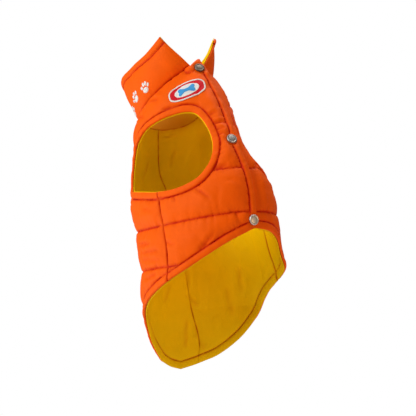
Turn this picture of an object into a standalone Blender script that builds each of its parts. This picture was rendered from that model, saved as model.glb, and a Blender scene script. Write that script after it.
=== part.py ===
"""Quilted winter coat for a dog: a hollow, worn form made of cut and sewn panels.

The back panel runs from the neck over the back to a long rounded tail. Two front panels
wrap the chest and belly and close with three snaps, the right one over the left. A stand
collar is sewn to the neckline. Each panel is a wall with quilted puffs raised in its
outer face, and a lining of its own lies inside it.

Sizes are in millimetres and meshes are made in metres. +Z is up, the belly faces -Y and
the dog's right side is -X. The origin is inside the chest on the coat's middle plane,
just below the armholes, where the dog's body carries the coat.
"""
import bpy
import numpy as np
from collections import namedtuple
from mathutils import Vector
from mathutils.geometry import delaunay_2d_cdt

MM = 0.001

# ---- Driving sizes, in millimetres ---------------------------------------------------
WALL = 2.0             # shell cloth and padding at a stitch line
LINING = 1.0           # lining cloth
GAP = 0.3              # between neighbouring pieces
PUFF = 3.6             # rise of a quilted puff over its stitch lines
PUFF_REACH = 21.0      # distance from a stitch line at which a puff is full
BAND = 8.8             # width of a turned and topstitched edge
BAND_RISE = 1.5        # rise of a topstitched edge over its stitch line
LAP = 22.0             # how far the left front runs under the right one
LAP_GAP = 1.1          # room between the two fronts where they lap
LAP_ROOM = 4.5         # between the left front's hidden edge and the right front's lining
LAP_CLEAR = 2.5        # how far past the right front's edge the left one stays low
LAP_SLOPE = 14.0       # width over which the left front comes up beside the lap
COLLAR_PUFF = 2.2      # rise of the collar's padding
COLLAR_BULGE = 2.5     # outward crown of the collar between its edges, in front
COLLAR_BACK_BULGE = -1.5    # and at the centre back, where it hollows
COLLAR_LEFT_LIFT = 2.5      # how much higher the left end of the collar stands
COLLAR_START = 0.075   # turn at which the collar begins, either side of the throat
COLLAR_COLUMNS = 38
COLLAR_ROWS = 6
BELLY_BLUR = 4         # spread of the belly's rounding, in columns of the tube's grid
SNAP_RADIUS = 6.25
SNAP_HEIGHT = 2.6
SNAP_SEAT = 0.8        # between a cap's flat foot and the cloth under its middle
SNAP_BACK_RADIUS = 4.5
SNAP_BACK_HEIGHT = 1.2
SNAP_BACK_SEAT = 0.8   # between a snap's flat back and the lining
SNAP_FLAT = 8.0        # distance from a snap within which it clamps the cloth flat
SNAP_EASE = 10.0       # width over which the cloth comes back to its own form
SEAT_SIDES = 8         # points round the flat seat
BADGE_HALF = (22.5, 10.0)
BADGE_THICKNESS = 1.0
ROW_STEP = 12.0        # spacing of the points inside a panel
EDGE_STEP = 10.0       # spacing of the points along its outline
ROW_SHARES = (0.0, 0.1, 0.3, 0.5, 0.7, 0.9)    # rows of points between two quilting lines
BAND_RINGS = (BAND / 2, BAND, BAND + 4.5)      # rows of points beside a turned edge
SEAM_RINGS = (5.0,)                            # and beside a seam
ROW_CLEAR = 3.0        # between a ring and the first point of a row
LINE_CLEAR = 4.0       # between a line cut across a panel and the points beside it
LEAST_APART = 3.4      # between any two points inside a panel
PER_KNOT = 12          # points of a curve between two of its places
FIRST_QUILTING = 1     # levels of the first and last lines of quilting
LAST_QUILTING = 6
FIRST_LEVEL = -0.1     # top corner of the right front, at the throat
LAST_LEVEL = 6.8

# The body is a tube whose sections lie on tilted planes. Each whole level is a line of
# quilting, and a section runs from its belly point to its back point.
# Its point is how sharply the belly is drawn out, and its sag is a dip at the sides.
Section = namedtuple("Section", "level belly_y belly_z back_y back_z half_width point sag")
SECTIONS = (
    Section(-0.1, 25, 174, 106.6, 90, 43, 0.77, 7),
    Section(0.0, 19, 167, 107, 87, 45.5, 0.76, 7),
    Section(0.5, -11, 132, 109, 72, 57.5, 0.69, 4),
    Section(1.0, -44, 93, 110, 54, 62, 0.76, 2),
    Section(2.0, -77, 40, 112, 8, 74.5, 0.59, 4),
    Section(3.0, -93, -11, 99, -43, 77.5, 0.52, 5),
    Section(4.0, -94, -66, 77, -92, 82.5, 0.50, 0),
    Section(5.0, -88, -118, 66, -138, 86, 0.50, 0),
    Section(6.0, -82, -168, 63, -180, 84, 0.50, 0),
    Section(6.8, -76, -205, 62, -214, 82, 0.50, 0),
)
# Places where the body swells out by so much, or dips in, with its reach both ways.
Swell = namedtuple("Swell", "turn level out across down")
SWELLS = (
    Swell(-0.35, 4.5, 4.0, 0.10, 0.6), Swell(0.37, 4.42, 10.5, 0.09, 0.5),
    Swell(0.56, 5.0, 4.5, 0.12, 0.4), Swell(0.15, 1.45, -5.5, 0.11, 0.42),
)

# Outlines on the tube: turn is the share of half the girth, 0 at the belly and 1 at the
# centre back, and both sides of the coat use the same numbers.
Place = namedtuple("Place", "turn level")
# Armholes, for the dog's right side (-1) and left side (1): the right one reaches further
# back. Each runs from its shoulder seam over the top, down the front and round the back.
ARMHOLE_TOP = {
    -1: (Place(0.66, 0.995), Place(0.58, 0.83), Place(0.50, 0.725)),
    1: (Place(0.592, 0.93), Place(0.54, 0.80), Place(0.475, 0.715)),
}
ARMHOLE_FRONT = (
    Place(0.40, 0.685), Place(0.30, 0.69), Place(0.215, 0.715), Place(0.160, 0.785),
    Place(0.132, 0.96), Place(0.123, 1.25), Place(0.138, 1.58), Place(0.172, 1.88),
    Place(0.236, 2.13), Place(0.33, 2.245), Place(0.435, 2.235),
)
ARMHOLE_BACK = {
    -1: (Place(0.53, 2.165), Place(0.63, 2.095), Place(0.705, 2.045), Place(0.736, 1.93),
         Place(0.735, 1.62), Place(0.720, 1.28)),
    1: (Place(0.52, 2.19), Place(0.60, 2.12), Place(0.655, 2.02), Place(0.678, 1.85),
        Place(0.668, 1.58), Place(0.636, 1.24)),
}
HEM = (
    Place(0.0, 3.36), Place(0.12, 3.60), Place(0.23, 3.885), Place(0.31, 4.11),
    Place(0.40, 4.34), Place(0.445, 4.445), Place(0.49, 4.575), Place(0.54, 4.725),
    Place(0.60, 4.985), Place(0.66, 5.42), Place(0.725, 5.88), Place(0.82, 6.345),
    Place(0.877, 6.50), Place(0.93, 6.61), Place(1.0, 6.70),
)
# Where the side seams end on it: the left one lies further back.
SIDE_HEM = {-1: HEM.index(Place(0.40, 4.34)), 1: HEM.index(Place(0.445, 4.445))}
LEFT_FRONT_HEM = (           # the left front is cut a little higher beside the belly
    Place(0.0, 3.36), Place(0.10, 3.42), Place(0.17, 3.52), Place(0.23, 3.66),
    Place(0.29, 3.87), Place(0.35, 4.105), Place(0.40, 4.27), Place(0.445, 4.445),
)
SIDE_SEAM = {
    -1: (Place(0.435, 2.235), Place(0.43, 2.9), Place(0.416, 3.4), Place(0.40, 4.34)),
    1: (Place(0.435, 2.235), Place(0.44, 2.9), Place(0.444, 3.6), Place(0.445, 4.445)),
}
SHOULDER_SEAM = {
    -1: (Place(0.64, 0.0), Place(0.648, 0.5), Place(0.66, 0.995)),
    1: (Place(0.575, 0.0), Place(0.583, 0.5), Place(0.592, 0.93)),
}
# Free edge of the right front, as a distance past the belly line.
LAP_EDGE = ((-0.1, 6.0), (0.0, 7.5), (0.15, 9.0), (0.5, 9.0), (1.0, 6.0), (1.4, 2.0),
            (2.0, 4.5), (3.4, 2.5))
# The tail hangs a little to the dog's left: its middle line moves by this turn.
TAIL_SWAY = ((4.45, 0.0), (4.8, 0.024), (5.2, 0.052), (5.9, 0.055), (6.3, 0.04), (6.7, 0.0))
# Centre seam of the back lining, as a turn to the dog's left of the back line.
LINING_SEAM = ((0.0, -0.026), (0.6, -0.014), (1.27, -0.006), (1.6, 0.012), (1.9, 0.040),
               (2.3, 0.052), (4.0, 0.06), (5.0, 0.07), (6.0, 0.11), (6.7, 0.10))
# Top edge of the collar, by the turn below it.
CollarTop = namedtuple("CollarTop", "turn x y z")
COLLAR_TOP = (
    CollarTop(0.075, 42, 43, 196), CollarTop(0.3, 45.5, 66, 178.5),
    CollarTop(0.55, 47.5, 97.5, 162.5), CollarTop(0.75, 43, 128, 147.5),
    CollarTop(0.9, 22, 143, 133.5), CollarTop(1.0, 0, 148, 130),
)
SNAPS = (Place(-0.018, 0.10), Place(-0.026, 1.34), Place(-0.008, 3.19))
BADGE = Place(-0.16, 0.42)

Finish = namedtuple("Finish", "color roughness metallic")
FINISHES = {
    "orange_cloth": Finish((0.84, 0.13, 0.02), 0.75, 0.0),
    "yellow_lining": Finish((0.62, 0.38, 0.02), 0.85, 0.0),
    "badge_cloth": Finish((0.70, 0.05, 0.06), 0.8, 0.0),
    "snap_metal": Finish((0.55, 0.52, 0.48), 0.35, 1.0),
}


# ---- Curves --------------------------------------------------------------------------
def smooth(knots, values, at):
    """Cubic curve through the knots, with central-difference slopes."""
    knots = np.asarray(knots, float)
    values = np.asarray(values, float)
    slopes = np.gradient(values, knots, axis=0)
    at = np.asarray(at, float)
    i = np.clip(np.searchsorted(knots, at, side="right") - 1, 0, len(knots) - 2)
    step = knots[i + 1] - knots[i]
    t = np.clip((at - knots[i]) / step, 0.0, 1.0)
    if values.ndim > 1:
        step, t = step[..., None], t[..., None]
    start = (1 + 2 * t) * (1 - t) ** 2 * values[i] + t * (1 - t) ** 2 * step * slopes[i]
    end = t * t * (3 - 2 * t) * values[i + 1] - t * t * (1 - t) * step * slopes[i + 1]
    return start + end


def table(rows, at):
    """Value of a two-column table at any place."""
    rows = np.array(rows, float)
    return smooth(rows[:, 0], rows[:, 1], at)


def ease(t):
    t = np.clip(t, 0.0, 1.0)
    return t * t * (3 - 2 * t)


def spline(places):
    """Smooth open curve through (turn, level) places."""
    knots = np.arange(len(places))
    at = np.linspace(0, len(places) - 1, PER_KNOT * (len(places) - 1) + 1)
    return smooth(knots, np.array(places, float), at)


def armhole(side):
    """Closed smooth curve of an armhole, as its front and back stretches."""
    front = ARMHOLE_TOP[side] + ARMHOLE_FRONT
    loop = front + ARMHOLE_BACK[side]
    around = np.array(loop[-2:] + loop + loop[:3], float)
    knots = np.arange(-2, len(loop) + 3)
    split = len(front) - 1
    front = np.linspace(0, split, PER_KNOT * split + 1)
    back = np.linspace(split, len(loop), PER_KNOT * (len(loop) - split) + 1)
    return smooth(knots, around, front), smooth(knots, around, back)


def resample(line, step, form=None):
    """Points along a line at nearly equal steps of its form, its two ends kept."""
    form = line if form is None else form
    lengths = np.concatenate([[0.0], np.cumsum(np.linalg.norm(np.diff(form, axis=0), axis=1))])
    count = max(1, int(round(lengths[-1] / step)))
    at = np.linspace(0.0, lengths[-1], count + 1)
    return np.stack([np.interp(at, lengths, line[:, k]) for k in range(line.shape[1])], -1)


def evenly(line):
    """Places along a line at equal steps on the tube, the same for both its neighbours."""
    return resample(line, EDGE_STEP, TUBE.point(line[:, 0], line[:, 1]))


def distance(points, lines):
    """Distance of each flat point to the nearest of some lines."""
    best = np.full(len(points), np.inf)
    for line in lines:
        for start, end in zip(line[:-1], line[1:]):
            along = end - start
            t = np.clip((points - start) @ along / max(along @ along, 1e-12), 0.0, 1.0)
            best = np.minimum(best, np.linalg.norm(points - start - t[:, None] * along, axis=1))
    return best


def inside(points, outline):
    """Which flat points lie within a closed outline."""
    x, y = points[:, 0], points[:, 1]
    crossings = np.zeros(len(points), bool)
    for (x0, y0), (x1, y1) in zip(outline, np.roll(outline, -1, axis=0)):
        if y0 != y1:
            cuts = (y0 > y) != (y1 > y)
            crossings ^= cuts & (x < (x1 - x0) * (y - y0) / (y1 - y0) + x0)
    return crossings


# ---- The tube that the coat is cut from ----------------------------------------------
class Tube:
    """The coat's outer form at its stitch lines, read at any turn and level."""
    levels = np.linspace(FIRST_LEVEL, LAST_LEVEL, 208)
    turns = np.linspace(-1.0, 1.0, 241)

    def __init__(self):
        rows = np.array(SECTIONS, float)
        columns = smooth(rows[:, 0], rows[:, 1:], self.levels)
        self.points = np.empty((len(self.levels), len(self.turns), 3))
        self.half_girth = np.empty(len(self.levels))
        for row, section in enumerate(columns):
            ring = self.half_section(*section)
            steps = np.linalg.norm(np.diff(ring, axis=0), axis=1)
            length = np.concatenate([[0.0], np.cumsum(steps)])
            self.half_girth[row] = length[-1]
            at = np.abs(self.turns) * length[-1]
            for k in range(3):
                self.points[row, :, k] = np.interp(at, length, ring[:, k])
            self.points[row, :, 0] *= np.sign(self.turns)
        self.round_belly()
        self.set_normals()
        turn, level = np.meshgrid(self.turns, self.levels)
        for swell in SWELLS:
            across = ((turn - swell.turn) / swell.across) ** 2
            down = ((level - swell.level) / swell.down) ** 2
            self.points += self.normals * (swell.out * np.exp(-across - down))[..., None]
        for snap in SNAPS:
            self.set_normals()
            self.clamp_flat(snap)
        self.set_normals()
        self.spacing = np.linalg.norm(self.down, axis=-1, keepdims=True)
        self.spacing = self.spacing / (self.levels[1] - self.levels[0])

    @staticmethod
    def half_section(belly_y, belly_z, back_y, back_z, half_width, point, sag):
        """Half a section: an ellipse whose belly end is drawn to a point."""
        share = 0.5 * (1 - np.cos(np.linspace(0.0, np.pi, 361)))
        peak = point / (point + 0.5)
        width = half_width * (share / peak) ** point * ((1 - share) / (1 - peak)) ** 0.5
        y = belly_y + (back_y - belly_y) * share
        z = belly_z + (back_z - belly_z) * share - sag * 4 * share * (1 - share)
        return np.stack([width, y, z], -1)

    def round_belly(self):
        """Rounds the pointed belly line, as padded cloth does, by a blur round the tube."""
        reach = np.arange(-3 * BELLY_BLUR, 3 * BELLY_BLUR + 1)
        weights = np.exp(-0.5 * (reach / BELLY_BLUR) ** 2)
        ring = self.points[:, :-1]
        blurred = sum(w * np.roll(ring, k, axis=1) for k, w in zip(reach, weights))
        self.points[:, :-1] = blurred / weights.sum()
        self.points[:, -1] = self.points[:, 0]

    def clamp_flat(self, snap):
        """Lays the cloth round a snap on the middle plane of what the snap clamps."""
        normal = self.normal([snap.turn], [snap.level])[0]
        away = self.points - self.point([snap.turn], [snap.level])[0]
        above = away @ normal
        apart = np.linalg.norm(away, axis=-1)
        plane = above[apart < SNAP_FLAT].mean()
        held = 1 - ease((apart - SNAP_FLAT) / SNAP_EASE)
        self.points += ((plane - above) * held)[..., None] * normal

    def set_normals(self):
        across = np.gradient(self.points, axis=1)
        self.down = np.gradient(self.points, axis=0)
        normals = np.cross(self.down, across)
        self.normals = normals / np.linalg.norm(normals, axis=-1, keepdims=True)

    def read(self, grid, turn, level):
        """Value of a grid between its rows and columns, all the way round."""
        a = (np.asarray(turn, float) + 1.0) % 2.0 / 2.0 * (len(self.turns) - 1)
        share = (np.asarray(level, float) - FIRST_LEVEL) / (LAST_LEVEL - FIRST_LEVEL)
        b = np.clip(share, 0.0, 1.0) * (len(self.levels) - 1)
        i = np.minimum(a.astype(int), len(self.turns) - 2)
        j = np.minimum(b.astype(int), len(self.levels) - 2)
        s, t = (a - i)[..., None], (b - j)[..., None]
        low = grid[j, i] * (1 - s) + grid[j, i + 1] * s
        high = grid[j + 1, i] * (1 - s) + grid[j + 1, i + 1] * s
        return low * (1 - t) + high * t

    def point(self, turn, level):
        return self.read(self.points, turn, level)

    def normal(self, turn, level):
        normal = self.read(self.normals, turn, level)
        return normal / np.linalg.norm(normal, axis=-1, keepdims=True)

    def girth(self, level):
        return np.interp(level, self.levels, self.half_girth)


TUBE = Tube()


# ---- Flat patterns -------------------------------------------------------------------
class Pattern:
    """A panel laid flat: x runs round the tube and y up it, in millimetres."""

    def __init__(self, middle_turn, edges, seams):
        self.middle = middle_turn
        column = TUBE.point(np.full(len(TUBE.levels), middle_turn), TUBE.levels)
        steps = np.linalg.norm(np.diff(column, axis=0), axis=1)
        self.run = np.concatenate([[0.0], np.cumsum(steps)])
        self.edges = [self.flat(line) for line in edges]
        self.seams = [self.flat(line) for line in seams]

    def flat(self, places):
        places = np.asarray(places, float)
        x = (places[:, 0] - self.middle) * TUBE.girth(places[:, 1])
        y = -np.interp(places[:, 1], TUBE.levels, self.run)
        return np.stack([x, y], -1)

    def places(self, flat):
        level = np.interp(-flat[:, 1], self.run, TUBE.levels)
        turn = self.middle + flat[:, 0] / TUBE.girth(level)
        return turn, level

    def rings(self, outline, lines, depths):
        """Rows of points that follow some lines at set depths inside the outline."""
        found = []
        for depth in depths:
            for line in lines:
                line = resample(line, EDGE_STEP)
                along = np.gradient(line, axis=0)
                along /= np.linalg.norm(along, axis=1, keepdims=True)
                aside = np.stack([-along[:, 1], along[:, 0]], -1) * depth
                for ring in (line + aside, line - aside):
                    keep = inside(ring, outline) & (distance(ring, self.edges + self.seams)
                                                    > depth - 0.2)
                    found.append(ring[keep])
        return np.concatenate(found)

    def snap_seats(self, outline):
        """The middle of each snap's seat and a ring of points round it."""
        angle = np.linspace(0, 2 * np.pi, SEAT_SIDES, endpoint=False)
        ring = np.stack([np.cos(angle), np.sin(angle)], -1) * SNAP_FLAT
        middles = self.flat(SNAPS)
        found = np.concatenate([middles] + [middle + ring for middle in middles])
        return found[inside(found, outline) & (distance(found, self.edges) > LEAST_APART)]

    def rows(self, outline, levels):
        """Rows of points along set levels, clear of the outline and its rings."""
        found = []
        span = np.linspace(outline[:, 0].min(), outline[:, 0].max(),
                           int(np.ptp(outline[:, 0]) / ROW_STEP))
        for level in levels:
            y = -np.interp(level, TUBE.levels, self.run)
            row = np.stack([span, np.full(len(span), y)], -1)
            row = row[inside(row, outline)]
            clear = distance(row, self.edges) > BAND_RINGS[-1] + ROW_CLEAR
            clear &= distance(row, self.seams) > SEAM_RINGS[-1] + ROW_CLEAR
            found.append(row[clear])
        return np.concatenate(found)

    def cut(self, outline_lines, inner_lines=()):
        """Points and triangles of the panel, with its inner lines kept as edges."""
        outline = np.concatenate([self.flat(evenly(line))[:-1] for line in outline_lines])
        count = len(outline)
        points = [outline]
        links = [(k, (k + 1) % count) for k in range(count)]
        kept_lines = [self.flat(evenly(line)) for line in inner_lines]
        for line in kept_lines:
            links += [(count + k, count + k + 1) for k in range(len(line) - 1)]
            count += len(line)
            points.append(line)
        levels = [whole + share for whole in range(LAST_QUILTING + 1) for share in ROW_SHARES]
        free = [self.snap_seats(outline), self.rings(outline, self.edges, BAND_RINGS),
                self.rings(outline, self.seams, SEAM_RINGS), self.rows(outline, levels[1:])]
        free = np.concatenate(free)
        if kept_lines:
            free = free[distance(free, kept_lines) > LINE_CLEAR]
        free = thin_out(free, LEAST_APART)
        points.append(free)
        every = np.concatenate(points)
        verts, _, faces, *_ = delaunay_2d_cdt([Vector(p) for p in every], links, [], 0, 1e-4)
        verts = np.array([tuple(v) for v in verts])
        faces = np.array(faces)
        middles = verts[faces].mean(axis=1)
        faces = faces[inside(middles, outline)]
        return verts, faces


def thin_out(points, least):
    """The points without those that lie too near an earlier one."""
    kept = []
    for point in points:
        if not kept or np.min(np.linalg.norm(np.array(kept) - point, axis=1)) > least:
            kept.append(point)
    return np.array(kept)


def open_edges(faces):
    """Directed edges that only one triangle has."""
    edges = {(int(f[k]), int(f[(k + 1) % 3])) for f in faces for k in range(3)}
    return [edge for edge in edges if (edge[1], edge[0]) not in edges]


def pull_in(flat, faces, amount):
    """Moves the points of a cut edge inwards, to leave room at the seams."""
    flat = flat.copy()
    push = np.zeros_like(flat)
    for a, b in open_edges(faces):
        along = flat[b] - flat[a]
        aside = np.array([-along[1], along[0]]) / np.linalg.norm(along)
        push[a] += aside
        push[b] += aside
    size = np.linalg.norm(push, axis=1, keepdims=True)
    moved = size[:, 0] > 0
    # A corner's two sides add up to less than 2, and it moves further to clear both.
    flat[moved] += push[moved] / size[moved] ** 2 * 2 * amount
    return flat


# ---- Relief --------------------------------------------------------------------------
def rise(distance_in):
    """Height of a puff, 0 at a stitch line and 1 a full reach away from it."""
    t = np.clip(distance_in / PUFF_REACH, 0.0, 1.0)
    return (1 - (1 - t) ** 2) ** 0.65


def relief(pattern, flat):
    """Rise of the shell's outer face: quilted puffs, topstitched bands, flat snaps."""
    turn, level = pattern.places(flat)
    nearest = np.clip(np.round(level), FIRST_QUILTING, LAST_QUILTING)
    quilting = np.abs(level - nearest) * TUBE.read(TUBE.spacing, turn, level)[:, 0]
    edge = distance(flat, pattern.edges)
    seam = distance(flat, pattern.seams)
    puffs = PUFF * rise(quilting) * rise(seam) * rise(edge - BAND)
    bands = BAND_RISE * np.sqrt(np.sin(np.pi * np.clip(edge / BAND, 0.0, 1.0)))
    height = np.where(edge > BAND, puffs, bands)
    here = TUBE.point(turn, level)
    for snap in SNAPS:
        away = np.linalg.norm(here - TUBE.point(snap.turn, snap.level), axis=1)
        height = height * ease((away - SNAP_RADIUS) / SNAP_RADIUS)
    return height


def lap_edge(level):
    """Turn of the right front's free edge."""
    return table(LAP_EDGE, level) / TUBE.girth(level)


def lap_under(level):
    """Turn of the left front's hidden edge."""
    return lap_edge(level) - LAP / TUBE.girth(level)


def lining_edge(level):
    """Turn at which the right front's lining ends, just short of the left front."""
    return lap_under(level) - LAP_ROOM / TUBE.girth(level)


def under_lap(turn, level):
    """How fully the left front lies under the right one, from 0 to 1."""
    past_edge = (turn - lap_edge(level)) * TUBE.girth(level)
    return 1 - ease((past_edge - LAP_CLEAR) / LAP_SLOPE)


# ---- Solids --------------------------------------------------------------------------
def material(name):
    finish = FINISHES[name]
    made = bpy.data.materials.get(name) or bpy.data.materials.new(name)
    made.use_nodes = True
    shader = made.node_tree.nodes["Principled BSDF"]
    shader.inputs["Base Color"].default_value = (*finish.color, 1.0)
    shader.inputs["Roughness"].default_value = finish.roughness
    shader.inputs["Metallic"].default_value = finish.metallic
    return made


def add_object(name, mesh, finish):
    mesh.materials.append(material(finish))
    piece = bpy.data.objects.new(name, mesh)
    bpy.data.collections["dog_winter_coat"].objects.link(piece)
    return piece


def wall(name, outer, inner, faces, finish):
    """Closed solid between two faces of cloth that share their triangles."""
    used = np.unique(faces)
    index = np.full(len(outer), -1)
    index[used] = np.arange(len(used))
    faces = index[faces]
    count = len(used)
    points = np.concatenate([outer[used], inner[used]]) * MM
    every = [tuple(map(int, f)) for f in faces]
    every += [tuple(int(k) + count for k in f[::-1]) for f in faces]
    every += [(b, a, a + count, b + count) for a, b in open_edges(faces)]
    mesh = bpy.data.meshes.new(name)
    mesh.from_pydata(points.tolist(), [], every)
    mesh.update()
    mesh.shade_smooth()
    mesh.set_sharp_from_angle(angle=np.radians(40))
    return add_object(name, mesh, finish)


def offset_points(turn, level, height):
    return TUBE.point(turn, level) + TUBE.normal(turn, level) * np.asarray(height)[:, None]


def not_lapped(turn, level):
    return np.zeros(len(turn))


def panel_walls(pattern, flat, faces, name, linings, lapped=not_lapped):
    """A quilted shell and the linings inside it, from one flat cut."""
    cut = pull_in(flat, faces, GAP / 2)
    turn, level = pattern.places(cut)
    low = lapped(turn, level)
    depth = (WALL + LAP_GAP) * low
    height = relief(pattern, cut) * (1 - low)
    wall(name, offset_points(turn, level, height - depth),
         offset_points(turn, level, -WALL - depth), faces, "orange_cloth")
    for lining_name, lining_faces in linings:
        cut = pull_in(flat, lining_faces, GAP / 2)
        turn, level = pattern.places(cut)
        outside = -WALL - GAP - (WALL + LAP_GAP) * lapped(turn, level)
        wall(lining_name, offset_points(turn, level, outside),
             offset_points(turn, level, outside - LINING), lining_faces, "yellow_lining")


# ---- Panels --------------------------------------------------------------------------
def mirrored(line):
    """The same line on the dog's right side."""
    return np.array(line, float) * (-1, 1)


def hem_lines(side):
    """The hem from the belly to a side seam, and from there to the centre back."""
    hem = spline(HEM)
    split = SIDE_HEM[side] * PER_KNOT
    return hem[:split + 1], hem[split:]


def front_edge(turn_at, top=0.0, bottom=HEM[0].level):
    """Line down a front at the turn that a function gives for each level."""
    levels = np.linspace(top, bottom, 60)
    return np.stack([turn_at(levels), levels], -1)


def front_outline(side, edge):
    """Outline of one front: neckline, shoulder, armhole, side, hem and free edge."""
    arm_front, _ = armhole(side)
    hem_front, _ = hem_lines(side)
    lines = [spline(SHOULDER_SEAM[side]), arm_front, spline(SIDE_SEAM[side])]
    if side < 0:
        lines = [mirrored(line) for line in lines + [hem_front[::-1]]]
    else:
        lines.append(spline(LEFT_FRONT_HEM)[::-1])
    shoulder, arm, side_seam, hem = lines
    free = front_edge(edge, top=FIRST_LEVEL if side < 0 else 0.0)[::-1]
    hem_end = np.linspace(hem[-1], free[0], 4)
    collar_start = (side * COLLAR_START, 0.0)
    throat = np.linspace(free[-1], collar_start, 12)
    neck = np.linspace(collar_start, shoulder[0], 40)
    bands = [arm, hem, hem_end, free, throat]
    lines = [throat, neck, shoulder, arm, side_seam, hem, hem_end, free]
    return lines, bands, [neck, shoulder, side_seam]


def right_front():
    lines, bands, seams = front_outline(-1, lap_edge)
    pattern = Pattern(-0.3, bands, seams)
    centre = pattern.flat([BADGE])[0]
    badge_line = np.stack(pattern.places(centre + badge_outline()), -1)
    under = front_edge(lining_edge, bottom=HEM[SIDE_HEM[-1]].level)
    hem = pattern.flat(np.concatenate([lines[5], lines[6]]))
    under = under[inside(pattern.flat(under), pattern_outline(pattern, lines))]
    under = np.concatenate([under, [end_on(pattern, under[-1], hem)]])
    flat, faces = pattern.cut(lines, [badge_line, under])
    turn, level = pattern.places(flat[faces].mean(axis=1))
    lined = faces[turn < lining_edge(level)]
    panel_walls(pattern, flat, faces, "front_right_shell", [("front_right_lining", lined)])
    patch = faces[inside(flat[faces].mean(axis=1), pattern.flat(badge_line[:-1]))]
    turn, level = pattern.places(flat)
    height = relief(pattern, flat) + GAP
    wall("badge", offset_points(turn, level, height + BADGE_THICKNESS),
         offset_points(turn, level, height), patch, "badge_cloth")


def end_on(pattern, place, line):
    """Place on a flat line that lies nearest to a given place."""
    flat = pattern.flat([place])[0]
    nearest = line[np.argmin(np.linalg.norm(line - flat, axis=1))]
    return np.concatenate(pattern.places(nearest[None]))


def pattern_outline(pattern, lines):
    return np.concatenate([pattern.flat(line)[:-1] for line in lines])


def badge_outline(sides=28):
    """Rounded oblong, closed by its first point."""
    angle = np.linspace(0, 2 * np.pi, sides + 1)
    wide, high = BADGE_HALF
    x = np.sign(np.cos(angle)) * np.abs(np.cos(angle)) ** 0.7 * wide
    y = np.sign(np.sin(angle)) * np.abs(np.sin(angle)) ** 0.7 * high
    return np.stack([x, y], -1)


def left_front():
    lines, bands, seams = front_outline(1, lap_under)
    pattern = Pattern(0.25, bands[:2], seams)
    flat, faces = pattern.cut(lines)
    panel_walls(pattern, flat, faces, "front_left_shell", [("front_left_lining", faces)],
                under_lap)


def back_side(side):
    """Shoulder seam, armhole and side seam of the back panel on one side."""
    return spline(SHOULDER_SEAM[side]), armhole(side)[1][::-1], spline(SIDE_SEAM[side])


def back():
    shoulder_l, arm_l, side_l = back_side(1)
    shoulder_r, arm_r, side_r = [line * (-1, 1) + (2, 0) for line in back_side(-1)]
    hem_l = swayed(hem_lines(1)[1])
    hem_r = swayed(hem_lines(-1)[1] * (-1, 1) + (2, 0))
    neck = np.linspace(shoulder_r[0], shoulder_l[0], 40)
    lines = [neck, shoulder_l, arm_l, side_l, hem_l, hem_r[::-1],
             side_r[::-1], arm_r[::-1], shoulder_r[::-1]]
    pattern = Pattern(1.0, [arm_l, arm_r, hem_l, hem_r],
                      [neck, shoulder_l, side_l, shoulder_r, side_r])
    levels = np.linspace(0.0, LAST_LEVEL, 120)
    seam = np.stack([1.0 - table(LINING_SEAM, levels), levels], -1)
    seam = seam[inside(pattern.flat(seam), pattern_outline(pattern, lines))]
    top = [seam[0, 0], 0.0]
    bottom = end_on(pattern, seam[-1], pattern.flat(np.concatenate([hem_l, hem_r])))
    seam = np.concatenate([[top], seam, [bottom]])
    flat, faces = pattern.cut(lines, [seam])
    turn, level = pattern.places(flat[faces].mean(axis=1))
    to_left = turn < 1.0 - table(LINING_SEAM, level)
    linings = [("back_lining_left", faces[to_left]), ("back_lining_right", faces[~to_left])]
    panel_walls(pattern, flat, faces, "back_shell", linings)


def swayed(line):
    """The tail's hem moved with its middle line."""
    return line - np.stack([table(TAIL_SWAY, line[:, 1]), np.zeros(len(line))], -1)


# ---- Collar --------------------------------------------------------------------------
def collar_grid():
    """Points and normals of the collar, rows from the neckline to its top edge."""
    turns = np.linspace(COLLAR_START, 2 - COLLAR_START, COLLAR_COLUMNS + 1)
    share = 1 - np.abs(turns - 1)
    rows = np.array(COLLAR_TOP, float)
    top = smooth(rows[:, 0], rows[:, 1:], share)
    top[:, 2] += COLLAR_LEFT_LIFT * (turns < 1) * (1 - ease(share * 4 - 0.3))
    top[:, 0] *= np.where(turns > 1, -1, 1)
    foot = TUBE.point(turns, np.zeros(len(turns)))
    up = top - foot
    up /= np.linalg.norm(up, axis=1, keepdims=True)
    foot = foot + up * GAP * 1.5
    height = np.linspace(0.0, 1.0, COLLAR_ROWS + 1)[:, None, None]
    points = foot + (top - foot) * height
    normals = grid_normals(points)
    bulge = COLLAR_BULGE + (COLLAR_BACK_BULGE - COLLAR_BULGE) * ease(share * 2 - 1)
    points = points + normals * (bulge * np.sin(np.pi * height[..., 0]))[..., None]
    normals = grid_normals(points)
    body = TUBE.normal(turns, np.zeros(len(turns)))
    normals = body + (normals - body) * ease(height * 3)
    return points, normals / np.linalg.norm(normals, axis=-1, keepdims=True)


def grid_normals(points):
    across = np.gradient(points, axis=1)
    up = np.gradient(points, axis=0)
    normals = np.cross(across, up)
    return normals / np.linalg.norm(normals, axis=-1, keepdims=True)


def grid_faces(rows, columns):
    """Triangles of a grid of points, counter-clockwise from outside."""
    corner = np.arange(rows * columns).reshape(rows, columns)
    a, b = corner[:-1, :-1].ravel(), corner[:-1, 1:].ravel()
    c, d = corner[1:, 1:].ravel(), corner[1:, :-1].ravel()
    return np.concatenate([np.stack([a, b, c], -1), np.stack([a, c, d], -1)])


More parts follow.
